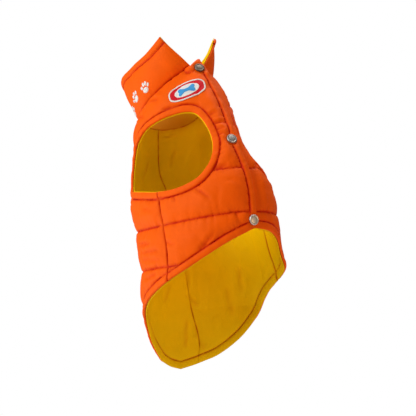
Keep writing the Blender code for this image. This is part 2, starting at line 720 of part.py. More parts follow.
def collar():
    points, normals = collar_grid()
    rows, columns = points.shape[:2]
    along = np.linalg.norm(np.gradient(points, axis=1), axis=-1).cumsum(axis=1)
    from_end = np.minimum(along - along[:, :1], along[:, -1:] - along)
    tall = np.linalg.norm(points[-1] - points[0], axis=-1)
    height = np.linspace(0.0, 1.0, rows)[:, None] * tall
    from_edge = np.minimum(from_end, tall - height)
    padding = COLLAR_PUFF * rise((from_edge - BAND) * 2) * rise(height * 2)
    faces = grid_faces(rows, columns)
    flat_points, flat_normals = points.reshape(-1, 3), normals.reshape(-1, 3)

    def face_at(offset):
        return flat_points + flat_normals * np.asarray(offset).reshape(-1, 1)

    zero = np.zeros((rows, columns))
    wall("collar_shell", face_at(padding), face_at(zero - WALL), faces, "orange_cloth")
    wall("collar_lining", face_at(zero - WALL - GAP), face_at(zero - WALL - GAP - LINING),
         faces, "yellow_lining")


# ---- Snaps ---------------------------------------------------------------------------
def turned(name, profile, finish, steps=20):
    """A turned piece from its profile, radius and height, listed from top to bottom."""
    mesh = bpy.data.meshes.new(name)
    points = [(radius * MM, 0.0, height * MM) for radius, height in profile]
    mesh.from_pydata(points, [(k, k + 1) for k in range(len(points) - 1)], [])
    piece = add_object(name, mesh, finish)
    screw = piece.modifiers.new("Turn", "SCREW")
    screw.steps = steps
    screw.render_steps = steps
    screw.use_merge_vertices = True
    screw.merge_threshold = 0.00001
    return piece


def place_on(piece, place, offset, outward=True):
    """Stands a turned piece on the cloth, its axis along the cloth's normal."""
    turn, level = np.array([place.turn]), np.array([place.level])
    normal = TUBE.normal(turn, level)[0]
    piece.location = (TUBE.point(turn, level)[0] + normal * offset) * MM
    axis = Vector(normal if outward else -normal)
    piece.rotation_euler = axis.to_track_quat("Z", "Y").to_euler()


def snaps():
    """Domed caps outside, and the flat backs of their studs inside."""
    radius, height = SNAP_RADIUS, SNAP_HEIGHT
    dome = [(radius * np.sin(a), height * 0.35 + height * 0.65 * np.cos(a))
            for a in np.radians((0, 30, 52, 72, 90))]
    dome[0] = (0.0, height)
    cap = dome + [(radius, height * 0.12), (radius - 0.3, 0.0), (0.0, 0.0)]
    back_radius, back_height = SNAP_BACK_RADIUS, SNAP_BACK_HEIGHT
    back_profile = [(0.0, back_height), (back_radius - 0.4, back_height),
                    (back_radius, back_height - 0.4), (back_radius, 0.0), (0.0, 0.0)]
    inner_face = WALL + LAP_GAP + WALL + GAP + LINING
    for number, place in enumerate(SNAPS, 1):
        place_on(turned(f"snap_cap_{number}", cap, "snap_metal"), place, SNAP_SEAT)
        back_piece = turned(f"snap_back_{number}", back_profile, "snap_metal")
        place_on(back_piece, place, -inner_face - SNAP_BACK_SEAT, outward=False)


def main():
    for item in list(bpy.data.objects):
        bpy.data.objects.remove(item)
    coat = bpy.data.collections.new("dog_winter_coat")
    bpy.context.scene.collection.children.link(coat)
    back()
    right_front()
    left_front()
    collar()
    snaps()


main()
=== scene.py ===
"""Sews the looks of a dog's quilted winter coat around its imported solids.

The coat is read as a tube: a turn goes round it, from 0 at the belly to 1 at the centre
back, and a level goes down it, each whole level being one line of quilting. Every panel
is cut flat in millimetres, given its padding, puckers and creases there, and then laid on
the tube. Meshes are made in metres, +Z is up and the belly faces -Y.
"""

from collections import namedtuple
from functools import lru_cache

import bpy
import numpy as np
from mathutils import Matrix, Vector
from mathutils.geometry import delaunay_2d_cdt


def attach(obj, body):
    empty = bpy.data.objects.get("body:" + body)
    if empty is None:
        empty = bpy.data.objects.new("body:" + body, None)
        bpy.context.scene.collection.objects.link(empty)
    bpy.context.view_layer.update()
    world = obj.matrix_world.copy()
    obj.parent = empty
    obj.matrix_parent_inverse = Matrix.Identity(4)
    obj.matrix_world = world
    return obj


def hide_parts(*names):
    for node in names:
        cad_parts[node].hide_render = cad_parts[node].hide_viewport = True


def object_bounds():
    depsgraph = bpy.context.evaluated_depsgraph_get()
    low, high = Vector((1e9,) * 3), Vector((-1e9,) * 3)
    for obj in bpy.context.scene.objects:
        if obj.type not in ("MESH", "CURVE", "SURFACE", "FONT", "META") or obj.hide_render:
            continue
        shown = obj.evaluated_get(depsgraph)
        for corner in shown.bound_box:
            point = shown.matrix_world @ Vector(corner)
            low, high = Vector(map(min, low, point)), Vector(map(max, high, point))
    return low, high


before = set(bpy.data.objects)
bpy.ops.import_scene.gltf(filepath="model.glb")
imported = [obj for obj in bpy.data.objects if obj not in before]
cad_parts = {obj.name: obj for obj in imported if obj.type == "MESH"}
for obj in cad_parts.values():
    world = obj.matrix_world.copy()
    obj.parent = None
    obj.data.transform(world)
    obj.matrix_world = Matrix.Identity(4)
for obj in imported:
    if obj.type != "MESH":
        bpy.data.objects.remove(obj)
CAD_BOX = [list(map(float, corner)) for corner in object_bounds()]

bl_info = {
    "name": "Dog winter coat",
    "version": (1, 0, 0),
    "blender": (4, 5, 0),
    "location": "3D View > Sidebar > Coat",
    "description": "Makes the cloth, lining, snaps and trimmings of a quilted dog coat",
    "category": "Add Mesh",
}

MM = 0.001
BODY = "root"


def named(kind, *rows):
    """A table of rows whose columns have the names of one kind."""
    return tuple(kind(*row) for row in rows)


# ---- Form of the coat, in millimetres ------------------------------------------------
WALL = 2.0             # shell cloth and padding at a stitch line
LINING = 1.0           # lining cloth
GAP = 0.3              # between the shell and its lining
LAP = 22.0             # how far the left front runs under the right one
LAP_GAP = 1.1          # room between the two fronts where they lap
LAP_DEPTH = WALL + LAP_GAP    # how far the left front drops where it lies under
LAP_ROOM = 4.5         # between the left front's hidden edge and the right front's lining
LAP_CLEAR = 2.5        # how far past the right front's edge the left one stays low
LAP_SLOPE = 14.0       # width over which the left front comes up beside the lap
PUFF_REACH = 21.0      # distance from a stitch line at which a puff is full
COLLAR_BULGE = 2.5     # outward crown of the collar between its edges, in front
COLLAR_BACK_BULGE = -1.5    # and at the centre back, where it hollows
COLLAR_LEFT_LIFT = 2.5      # how much higher the left end of the collar stands
COLLAR_FOOT_LIFT = 0.02     # its foot stands just clear of the coat's top line
COLLAR_START = 0.075   # turn at which the collar begins, either side of the throat
BELLY_BLUR = 4         # spread of the belly's rounding, in columns of the tube's grid
SNAP_FLAT = 8.0        # distance from a snap within which it clamps the cloth flat
SNAP_EASE = 10.0       # width over which the cloth comes back to its own form
SNAP_SMOOTH = 5.0      # distance from a snap within which the cloth has no relief
SNAP_SMOOTH_EASE = 6.0    # width over which its relief comes back
SNAP_SEAT = 0.8        # between a cap's foot and the cloth under its middle
SNAP_BACK_SEAT = 0.8   # between a snap's flat back and the lining
PER_KNOT = 12          # points of a curve between two of its places
FIRST_QUILTING = 1     # levels of the first and last lines of quilting
LAST_QUILTING = 6
UNSEWN_TURN = -0.085   # middle of a strip that the first line of quilting stops short of
UNSEWN_REACH = 0.04    # and half its width
UNSEWN_RISE = 9.0      # extra distance to the stitches there
RIGHT_MIDDLE = -0.3    # turns about which the panels are laid flat
LEFT_MIDDLE = 0.25
BACK_MIDDLE = 1.0
FIRST_LEVEL = -0.1     # top corner of the right front, at the throat
LAST_LEVEL = 6.8

Section = namedtuple("Section", "level belly_y belly_z back_y back_z half_width point sag")
SECTIONS = named(Section,
    (-0.1, 25, 174, 106.6, 90, 43, 0.77, 7),
    (0.0, 19, 167, 107, 87, 45.5, 0.76, 7),
    (0.5, -11, 132, 109, 72, 57.5, 0.69, 4),
    (1.0, -44, 93, 110, 54, 62, 0.76, 2),
    (2.0, -77, 40, 112, 8, 74.5, 0.59, 4),
    (3.0, -93, -11, 99, -43, 77.5, 0.52, 5),
    (4.0, -94, -66, 77, -92, 82.5, 0.50, 0),
    (5.0, -88, -118, 66, -138, 86, 0.50, 0),
    (6.0, -82, -168, 63, -180, 84, 0.50, 0),
    (6.8, -76, -205, 62, -214, 82, 0.50, 0),
)
# Places where the body swells out by so much, or dips in, with its reach both ways.
Swell = namedtuple("Swell", "turn level out across down")
SWELLS = named(Swell,
    (-0.35, 4.5, 4.0, 0.10, 0.6), (0.37, 4.42, 10.5, 0.09, 0.5),
    (0.56, 5.0, 4.5, 0.12, 0.4), (0.15, 1.45, -5.5, 0.11, 0.42),
)
Place = namedtuple("Place", "turn level")
# Armholes, for the dog's right side (-1) and left side (1): the right one reaches further
# back. Each runs from its shoulder seam over the top, down the front and round the back.
ARMHOLE_TOP = {
    -1: named(Place, (0.66, 0.995), (0.58, 0.83), (0.50, 0.725)),
    1: named(Place, (0.592, 0.93), (0.54, 0.80), (0.475, 0.715)),
}
ARMHOLE_FRONT = named(Place,
    (0.40, 0.685), (0.30, 0.69), (0.215, 0.715), (0.160, 0.785),
    (0.132, 0.96), (0.123, 1.25), (0.138, 1.58), (0.172, 1.88),
    (0.236, 2.13), (0.33, 2.245), (0.435, 2.235),
)
ARMHOLE_BACK = {
    -1: named(Place, (0.53, 2.165), (0.63, 2.095), (0.705, 2.045), (0.736, 1.93),
              (0.735, 1.62), (0.720, 1.28)),
    1: named(Place, (0.52, 2.19), (0.60, 2.12), (0.655, 2.02), (0.678, 1.85),
             (0.668, 1.58), (0.636, 1.24)),
}
HEM = named(Place,
    (0.0, 3.36), (0.12, 3.60), (0.23, 3.885), (0.31, 4.11),
    (0.40, 4.34), (0.445, 4.445), (0.49, 4.575), (0.54, 4.725),
    (0.60, 4.985), (0.66, 5.42), (0.725, 5.88), (0.82, 6.345),
    (0.877, 6.50), (0.93, 6.61), (1.0, 6.70),
)
# Where the side seams end on it: the left one lies further back.
SIDE_HEM = {-1: HEM.index((0.40, 4.34)), 1: HEM.index((0.445, 4.445))}
LEFT_FRONT_HEM = named(Place,    # the left front is cut a little higher beside the belly
    (0.0, 3.36), (0.10, 3.42), (0.17, 3.52), (0.23, 3.66),
    (0.29, 3.87), (0.35, 4.105), (0.40, 4.27), (0.445, 4.445),
)
SIDE_SEAM = {
    -1: named(Place, (0.435, 2.235), (0.43, 2.9), (0.416, 3.4), (0.40, 4.34)),
    1: named(Place, (0.435, 2.235), (0.44, 2.9), (0.444, 3.6), (0.445, 4.445)),
}
SHOULDER_SEAM = {
    -1: named(Place, (0.64, 0.0), (0.648, 0.5), (0.66, 0.995)),
    1: named(Place, (0.575, 0.0), (0.583, 0.5), (0.592, 0.93)),
}
# Free edge of the right front, as a distance past the belly line.
LAP_EDGE = ((-0.1, 6.0), (0.0, 7.5), (0.15, 9.0), (0.5, 9.0), (1.0, 6.0), (1.4, 2.0),
            (2.0, 4.5), (3.4, 2.5))
# The tail hangs a little to the dog's left: its middle line moves by this turn.
TAIL_SWAY = ((4.45, 0.0), (4.8, 0.024), (5.2, 0.052), (5.9, 0.055), (6.3, 0.04), (6.7, 0.0))
# Centre seam of the back lining, as a turn to the dog's left of the back line.
LINING_SEAM = ((0.0, -0.026), (0.6, -0.014), (1.27, -0.006), (1.6, 0.012), (1.9, 0.040),
               (2.3, 0.052), (4.0, 0.06), (5.0, 0.07), (6.0, 0.11), (6.7, 0.10))
CollarTop = namedtuple("CollarTop", "turn x y z")
COLLAR_TOP = named(CollarTop,
    (0.075, 42, 43, 196), (0.3, 45.5, 66, 178.5),
    (0.55, 47.5, 97.5, 162.5), (0.75, 43, 128, 147.5),
    (0.9, 22, 143, 133.5), (1.0, 0, 148, 130),
)
SNAPS = named(Place, (-0.018, 0.10), (-0.026, 1.34), (-0.008, 3.19))
BADGE = Place(-0.16, 0.42)

# ---- Fineness of the cloth -----------------------------------------------------------
CELL = 2.0             # spacing of the points inside a panel
EDGE_RINGS = (0.35, 0.8, 1.4, 2.2, 3.3, 4.6, 5.9, 7.0, 7.8, 8.4, 8.8, 9.2, 9.8, 10.6, 11.7, 13.2)
SEAM_RINGS = (0.35, 0.8, 1.4, 2.2, 3.3, 4.8, 6.6)
ROWS = 26              # rows of points between two lines of quilting
ROW_CROWDING = 0.62    # how much closer the rows lie beside the quilting
ROUND = 1.3            # radius of a turned edge
DEEPEST = -1.6         # lowest that a stitch line draws the cloth in
NOISE_TABLE = 512      # seeded values behind each random wave


# ---- Curves --------------------------------------------------------------------------
def smooth(knots, values, at):
    """Cubic curve through the knots, with central-difference slopes."""
    knots = np.asarray(knots, float)
    values = np.asarray(values, float)
    slopes = np.gradient(values, knots, axis=0)
    at = np.asarray(at, float)
    i = np.clip(np.searchsorted(knots, at, side="right") - 1, 0, len(knots) - 2)
    step = knots[i + 1] - knots[i]
    t = np.clip((at - knots[i]) / step, 0.0, 1.0)
    if values.ndim > 1:
        step, t = step[..., None], t[..., None]
    start = (1 + 2 * t) * (1 - t) ** 2 * values[i] + t * (1 - t) ** 2 * step * slopes[i]
    end = t * t * (3 - 2 * t) * values[i + 1] - t * t * (1 - t) * step * slopes[i + 1]
    return start + end


def table(rows, at):
    """Value of a two-column table at any place."""
    rows = np.array(rows, float)
    return smooth(rows[:, 0], rows[:, 1], at)


def ease(t):
    """Cubic step from 0 to 1."""
    t = np.clip(t, 0.0, 1.0)
    return t * t * (3 - 2 * t)


def spline(places):
    """Smooth open curve through (turn, level) places."""
    knots = np.arange(len(places))
    at = np.linspace(0, len(places) - 1, PER_KNOT * (len(places) - 1) + 1)
    return smooth(knots, np.array(places, float), at)


def armhole(side):
    """Closed smooth curve of an armhole, as its front and back stretches."""
    front = ARMHOLE_TOP[side] + ARMHOLE_FRONT
    loop = front + ARMHOLE_BACK[side]
    around = np.array(loop[-2:] + loop + loop[:3], float)
    knots = np.arange(-2, len(loop) + 3)
    split = len(front) - 1
    front = np.linspace(0, split, PER_KNOT * split + 1)
    back = np.linspace(split, len(loop), PER_KNOT * (len(loop) - split) + 1)
    return smooth(knots, around, front), smooth(knots, around, back)


def lengths(line):
    """Distance along a line at each of its points."""
    return np.concatenate([[0.0], np.cumsum(np.linalg.norm(np.diff(line, axis=0), axis=1))])


def unit(vectors):
    """The same directions, each of length 1."""
    return vectors / np.linalg.norm(vectors, axis=-1, keepdims=True)


def sideways(line):
    """Direction across a flat line, to the left, at each of its points."""
    along = unit(np.gradient(line, axis=0))
    return np.stack([-along[:, 1], along[:, 0]], -1)


def between(grid, row, column):
    """Value of a grid at fractions of its rows and columns, linear between its points."""
    j = np.minimum(row.astype(int), grid.shape[0] - 2)
    i = np.minimum(column.astype(int), grid.shape[1] - 2)
    s, t = (column - i)[..., None], (row - j)[..., None]
    low = grid[j, i] * (1 - s) + grid[j, i + 1] * s
    high = grid[j + 1, i] * (1 - s) + grid[j + 1, i + 1] * s
    return low * (1 - t) + high * t


def bell(away, width, high=1.0):
    """Bell curve: a height on a line that fades over a width beside it."""
    return high * np.exp(-(away / width) ** 2)


def crown(edge, band):
    """Rise of a turned edge across its width, the root of a half sine wave."""
    return np.sqrt(np.sin(np.pi * np.clip(edge / band, 0.0, 1.0)))


def edge_drop(edge):
    """How far a face falls on a quarter circle as it nears its rounded free edge."""
    inward = np.clip(ROUND - edge, 0, ROUND)
    return ROUND - np.sqrt(np.clip(ROUND ** 2 - inward ** 2, 0, None))


def mm(name):
    """One of the coat's sizes, in millimetres."""
    return getattr(bpy.context.scene.coat_sizes, name) / MM


def resample(line, step, form=None):
    """Points along a line at nearly equal steps of its form, its two ends kept."""
    run = lengths(line if form is None else form)
    at = np.linspace(0.0, run[-1], max(1, int(round(run[-1] / step))) + 1)
    return np.stack([np.interp(at, run, line[:, k]) for k in range(line.shape[1])], -1)


def evenly(line):
    """Places along a line at equal steps on the tube, the same for both its neighbours."""
    return resample(line, CELL, TUBE.point(line[:, 0], line[:, 1]))


def nearest(points, lines):
    """Distance of each flat point to some lines, and how far along them its foot lies."""
    best = np.full(len(points), np.inf)
    along = np.zeros(len(points))
    start = 0.0
    for line in lines:
        for a, b in zip(line[:-1], line[1:]):
            step = b - a
            size = max(float(np.hypot(*step)), 1e-9)
            t = np.clip((points - a) @ step / size ** 2, 0.0, 1.0)
            gap = np.hypot(*(points - a - t[:, None] * step).T)
            closer = gap < best
            best[closer] = gap[closer]
            along[closer] = start + t[closer] * size
            start += size
    return best, along


def inside(points, outline):
    """Which flat points lie within a closed outline, by the crossings of a level line."""
    x, y = points[:, 0], points[:, 1]
    crossings = np.zeros(len(points), bool)
    for (x0, y0), (x1, y1) in zip(outline, np.roll(outline, -1, axis=0)):
        if y0 != y1:
            cuts = (y0 > y) != (y1 > y)
            crossings ^= cuts & (x < (x1 - x0) * (y - y0) / (y1 - y0) + x0)
    return crossings


# ---- Random waves, the same in each run ----------------------------------------------
@lru_cache(None)
def seeded(seed, *shape):
    """Random values from -1 to 1 for a seed, worked out once."""
    return np.random.RandomState(seed).uniform(-1.0, 1.0, shape)


def wave(x, seed):
    """Random wave of one parameter: seeded values at whole numbers, eased between."""
    values = seeded(seed, NOISE_TABLE)
    i = np.floor(x).astype(int)
    t = ease(x - i)
    return values[i % NOISE_TABLE] * (1 - t) + values[(i + 1) % NOISE_TABLE] * t


def cloud(x, y, seed):
    """Random field of two parameters: seeded values on a square grid, eased between."""
    size = 64
    values = seeded(seed, size, size)
    i, j = np.floor(x).astype(int), np.floor(y).astype(int)
    s, t = ease(x - i), ease(y - j)
    low = values[i % size, j % size] * (1 - s) + values[(i + 1) % size, j % size] * s
    high = (values[i % size, (j + 1) % size] * (1 - s)
            + values[(i + 1) % size, (j + 1) % size] * s)
    return low * (1 - t) + high * t


def ridges(x, y, seed):
    """Narrow folds where a random field crosses 0, 1 at their crests."""
    return (1 - np.abs(cloud(x, y, seed))) ** 6


def puckers(away, along, seed, cell, reach):
    """Cloth gathered along a stitch line: a sharp valley wherever a random wave crosses 0,
    fading with the distance from the stitches over a reach that itself varies."""
    drawn = wave(along / cell, seed)
    valleys = -(1 - np.abs(drawn)) ** 4
    swell = 0.45 * wave(along / (1.7 * cell), seed + 1)
    fade = reach * (1 + 0.55 * wave(along / (2.3 * cell), seed + 2))
    return (valleys + swell) * np.exp(-away / fade) * ease(away / 1.2 + 0.25)


# ---- The tube that the coat is cut from ----------------------------------------------
class Tube:
    """The coat's outer form at its stitch lines, read at any turn and level."""
    levels = np.linspace(FIRST_LEVEL, LAST_LEVEL, 208)
    turns = np.linspace(-1.0, 1.0, 241)

    def __init__(self):
        rows = np.array(SECTIONS, float)
        columns = smooth(rows[:, 0], rows[:, 1:], self.levels)
        self.points = np.empty((len(self.levels), len(self.turns), 3))
        self.half_girth = np.empty(len(self.levels))
        for row, section in enumerate(columns):
            ring = self.half_section(*section)
            run = lengths(ring)
            self.half_girth[row] = run[-1]
            at = np.abs(self.turns) * run[-1]
            for k in range(3):
                self.points[row, :, k] = np.interp(at, run, ring[:, k])
            self.points[row, :, 0] *= np.sign(self.turns)
        self.round_belly()
        self.set_normals()
        turn, level = np.meshgrid(self.turns, self.levels)
        for swell in SWELLS:
            across = ((turn - swell.turn) / swell.across) ** 2
            down = ((level - swell.level) / swell.down) ** 2
            self.points += self.normals * (swell.out * np.exp(-across - down))[..., None]
        for snap in SNAPS:
            self.set_normals()
            self.clamp_flat(snap)
        self.set_normals()
        self.spacing = np.linalg.norm(self.down, axis=-1, keepdims=True)
        self.spacing = self.spacing / (self.levels[1] - self.levels[0])

    @staticmethod
    def half_section(belly_y, belly_z, back_y, back_z, half_width, point, sag):
        """Half a section: share**point * (1 - share)**0.5 wide, an ellipse whose belly end
        is drawn to a point, on a straight line from belly to back that sags between."""
        share = 0.5 * (1 - np.cos(np.linspace(0.0, np.pi, 361)))
        peak = point / (point + 0.5)
        width = half_width * (share / peak) ** point * ((1 - share) / (1 - peak)) ** 0.5
        y = belly_y + (back_y - belly_y) * share
        z = belly_z + (back_z - belly_z) * share - sag * 4 * share * (1 - share)
        return np.stack([width, y, z], -1)

    def round_belly(self):
        """Rounds the pointed belly line, as padded cloth does, by a blur round the tube."""
        reach = np.arange(-3 * BELLY_BLUR, 3 * BELLY_BLUR + 1)
        weights = np.exp(-0.5 * (reach / BELLY_BLUR) ** 2)
        ring = self.points[:, :-1]
        blurred = sum(w * np.roll(ring, k, axis=1) for k, w in zip(reach, weights))
        self.points[:, :-1] = blurred / weights.sum()
        self.points[:, -1] = self.points[:, 0]

    def clamp_flat(self, snap):
        """Lays the cloth round a snap on the middle plane of what the snap clamps."""
        normal = self.normal([snap.turn], [snap.level])[0]
        away = self.points - self.point([snap.turn], [snap.level])[0]
        above = away @ normal
        apart = np.linalg.norm(away, axis=-1)
        plane = above[apart < SNAP_FLAT].mean()
        held = 1 - ease((apart - SNAP_FLAT) / SNAP_EASE)
        self.points += ((plane - above) * held)[..., None] * normal

    def set_normals(self):
        """Normals from the slopes across and down the grid."""
        across = np.gradient(self.points, axis=1)
        self.down = np.gradient(self.points, axis=0)
        self.normals = unit(np.cross(self.down, across))

    def read(self, grid, turn, level):
        """Value of a grid between its rows and columns, all the way round."""
        column = (np.asarray(turn, float) + 1.0) % 2.0 / 2.0 * (len(self.turns) - 1)
        share = (np.asarray(level, float) - FIRST_LEVEL) / (LAST_LEVEL - FIRST_LEVEL)
        row = np.clip(share, 0.0, 1.0) * (len(self.levels) - 1)
        return between(grid, row, column)

    def point(self, turn, level):
        """Point of the tube at a turn and level."""
        return self.read(self.points, turn, level)

    def normal(self, turn, level):
        """Outward normal there."""
        return unit(self.read(self.normals, turn, level))

    def girth(self, level):
        """Half the girth at a level."""
        return np.interp(level, self.levels, self.half_girth)


TUBE = Tube()


def offset(turn, level, height):
    """Places on the tube, moved out along its normals by a height."""
    height = np.broadcast_to(np.asarray(height, float), np.shape(turn))
    return TUBE.point(turn, level) + TUBE.normal(turn, level) * height[..., None]


# ---- Creases pressed into the cloth --------------------------------------------------
Crease = namedtuple("Crease", "from_turn from_level to_turn to_level depth width")
RIGHT_CREASES = named(Crease,
    (-0.34, 0.54, -0.24, 0.60, 2.2, 2.2), (-0.25, 0.60, -0.13, 0.685, 2.5, 2.0),
    (-0.15, 0.87, -0.05, 0.84, 1.9, 1.6), (-0.13, 0.99, -0.045, 1.00, 2.2, 1.5),
    (-0.13, 1.10, -0.05, 1.115, 2.4, 1.5), (-0.12, 1.20, -0.055, 1.22, 2.0, 1.4),
    (-0.165, 1.99, -0.09, 1.93, 1.7, 2.0), (-0.24, 2.34, -0.19, 2.60, 1.9, 2.2),
    (-0.36, 2.36, -0.34, 2.52, 1.5, 2.0), (-0.42, 3.40, -0.36, 3.52, 1.4, 2.2),
    (-0.25, 3.72, -0.19, 3.42, 1.5, 2.4), (-0.62, 0.20, -0.50, 0.46, 1.5, 3.0),
    (-0.46, 0.10, -0.36, 0.30, 1.4, 2.6), (-0.58, 0.75, -0.50, 0.70, 1.5, 2.0),
)
LEFT_CREASES = named(Crease,
    (0.15, 0.40, 0.25, 0.56, 1.8, 2.4), (0.12, 0.70, 0.07, 0.66, 1.5, 1.8),
    (0.115, 1.10, 0.07, 1.16, 1.7, 1.7), (0.13, 1.85, 0.08, 1.97, 1.5, 2.0),
    (0.20, 2.30, 0.17, 2.55, 1.5, 2.2), (0.33, 2.40, 0.36, 2.62, 1.4, 2.2),
    (0.35, 3.35, 0.42, 3.50, 1.2, 2.2), (0.22, 3.62, 0.17, 3.35, 1.4, 2.4),
    (0.50, 0.30, 0.60, 0.55, 1.4, 3.0), (0.36, 0.12, 0.45, 0.32, 1.2, 2.6),
)
BACK_CREASES = named(Crease,
    (1.36, 3.33, 1.48, 3.38, 1.6, 3.0), (1.40, 3.56, 1.53, 3.59, 1.6, 3.0),
    (1.40, 3.73, 1.50, 3.70, 1.3, 2.8), (1.44, 3.82, 1.54, 3.79, 1.0, 2.8),
    (1.44, 4.22, 1.52, 4.14, 1.4, 2.2), (1.46, 2.55, 1.53, 2.62, 1.2, 2.4),
    (0.60, 3.30, 0.50, 3.42, 1.7, 2.2), (0.47, 3.70, 0.60, 3.78, 1.7, 2.2),
    (0.48, 2.60, 0.56, 2.66, 1.2, 2.4), (1.29, 2.2, 1.22, 2.42, 1.5, 2.6),
    (0.72, 2.2, 0.79, 2.45, 1.5, 2.6), (0.82, 1.55, 0.92, 1.42, 1.5, 3.0),
    (1.19, 1.52, 1.08, 1.40, 1.5, 3.0), (0.86, 0.62, 0.97, 0.50, 1.4, 3.0),
    (1.15, 0.42, 1.05, 0.58, 1.4, 3.0), (0.78, 4.70, 0.86, 4.55, 1.5, 2.6),
    (1.21, 4.62, 1.12, 4.46, 1.5, 2.6), (0.84, 5.60, 0.93, 5.45, 1.5, 2.8),
    (1.14, 5.52, 1.06, 5.36, 1.5, 2.6), (0.93, 3.55, 1.02, 3.40, 1.4, 3.0),
)
LINING_CREASES = named(Crease,
    (0.925, 4.02, 0.942, 4.45, 2.2, 3.0), (0.95, 4.62, 0.90, 4.90, 1.8, 3.0),
    (0.930, 5.05, 0.905, 5.80, 2.1, 2.2), (0.905, 5.80, 0.860, 6.25, 1.7, 3.0),
    (0.965, 5.35, 0.975, 6.05, 1.4, 3.4), (0.66, 4.05, 0.665, 4.60, 1.0, 4.0),
    (0.74, 4.55, 0.72, 5.20, 0.9, 4.0), (1.04, 4.30, 1.10, 4.75, 1.0, 3.6),
    (0.83, 2.10, 0.86, 2.65, 1.2, 3.4), (1.10, 1.20, 1.14, 1.70, 1.2, 3.0),
    (0.90, 0.85, 0.93, 1.30, 1.2, 3.0), (0.88, 0.22, 0.99, 0.34, 1.8, 2.2),
)


def pressed(flat, panel, creases):
    """Depth of the creases: a bell-shaped valley along each one, deepest at its middle and
    with a low lip on both sides."""
    depth = np.zeros(len(flat))
    for crease in creases:
        ends = panel.flat([crease[:2], crease[2:4]])
        away, along = nearest(flat, [ends])
        size = np.hypot(*(ends[1] - ends[0]))
        taper = np.sqrt(np.clip(np.sin(np.pi * (0.08 + 0.84 * along / size)), 0.0, 1.0))
        valley = bell(away, crease.width)
        lip = bell(away - 2.1 * crease.width, crease.width, 0.45)
        depth += crease.depth * (valley - lip) * taper
    return depth


# ---- Soft forms and folds of the cloth -----------------------------------------------
# Random fields and folds added to the padding: how high, and how large both ways.
Billow = namedtuple("Billow", "high across down seed")
SHELL_BILLOWS = named(Billow, (0.9, 31, 24, 5), (0.5, 13, 11, 6))
SHELL_FOLDS = named(Billow, (-0.9, 27, 17, 7), (-0.6, 14, 21, 8))
LINING_BILLOWS = named(Billow, (0.8, 27, 45, 31), (0.4, 12, 20, 32))
LINING_FOLDS = named(Billow, (-0.8, 26, 48, 34), (-0.5, 17, 23, 36))
COLLAR_BILLOWS = named(Billow, (0.7, 26, 19, 71), (0.35, 11, 12, 72))
COLLAR_LINING_BILLOWS = named(Billow, (0.6, 22, 16, 81))
# Gathers along stitch lines: the size of their waves, how far they reach from the
# stitches and their share of a pucker's depth.
Gather = namedtuple("Gather", "seed cell reach share")
QUILTING_GATHERS = named(Gather, (0, 6.0, 6.5, 1.0), (1, 3.6, 3.0, 0.6))
BAND_GATHERS = named(Gather, (11, 5.0, 5.0, 1.0), (12, 3.4, 2.6, 0.5))
SEAM_GATHERS = named(Gather, (14, 6.0, 4.5, 0.8))
LINING_BAND_GATHERS = named(Gather, (33, 6.0, 6.0, 0.5))
LINING_SEAM_GATHERS = named(Gather, (35, 7.0, 4.0, 0.4))
COLLAR_BAND_GATHERS = named(Gather, (73, 6.0, 4.0, 1.0))
COLLAR_SEAM_GATHERS = named(Gather, (76, 7.0, 4.5, 1.0))
COLLAR_LINING_GATHERS = named(Gather, (82, 6.0, 4.0, 0.3))
LINING_GROOVE = 0.65   # depth of a stitch line in the lining
FAR = 99.0             # stands for the distance to a line that a panel doesn't have


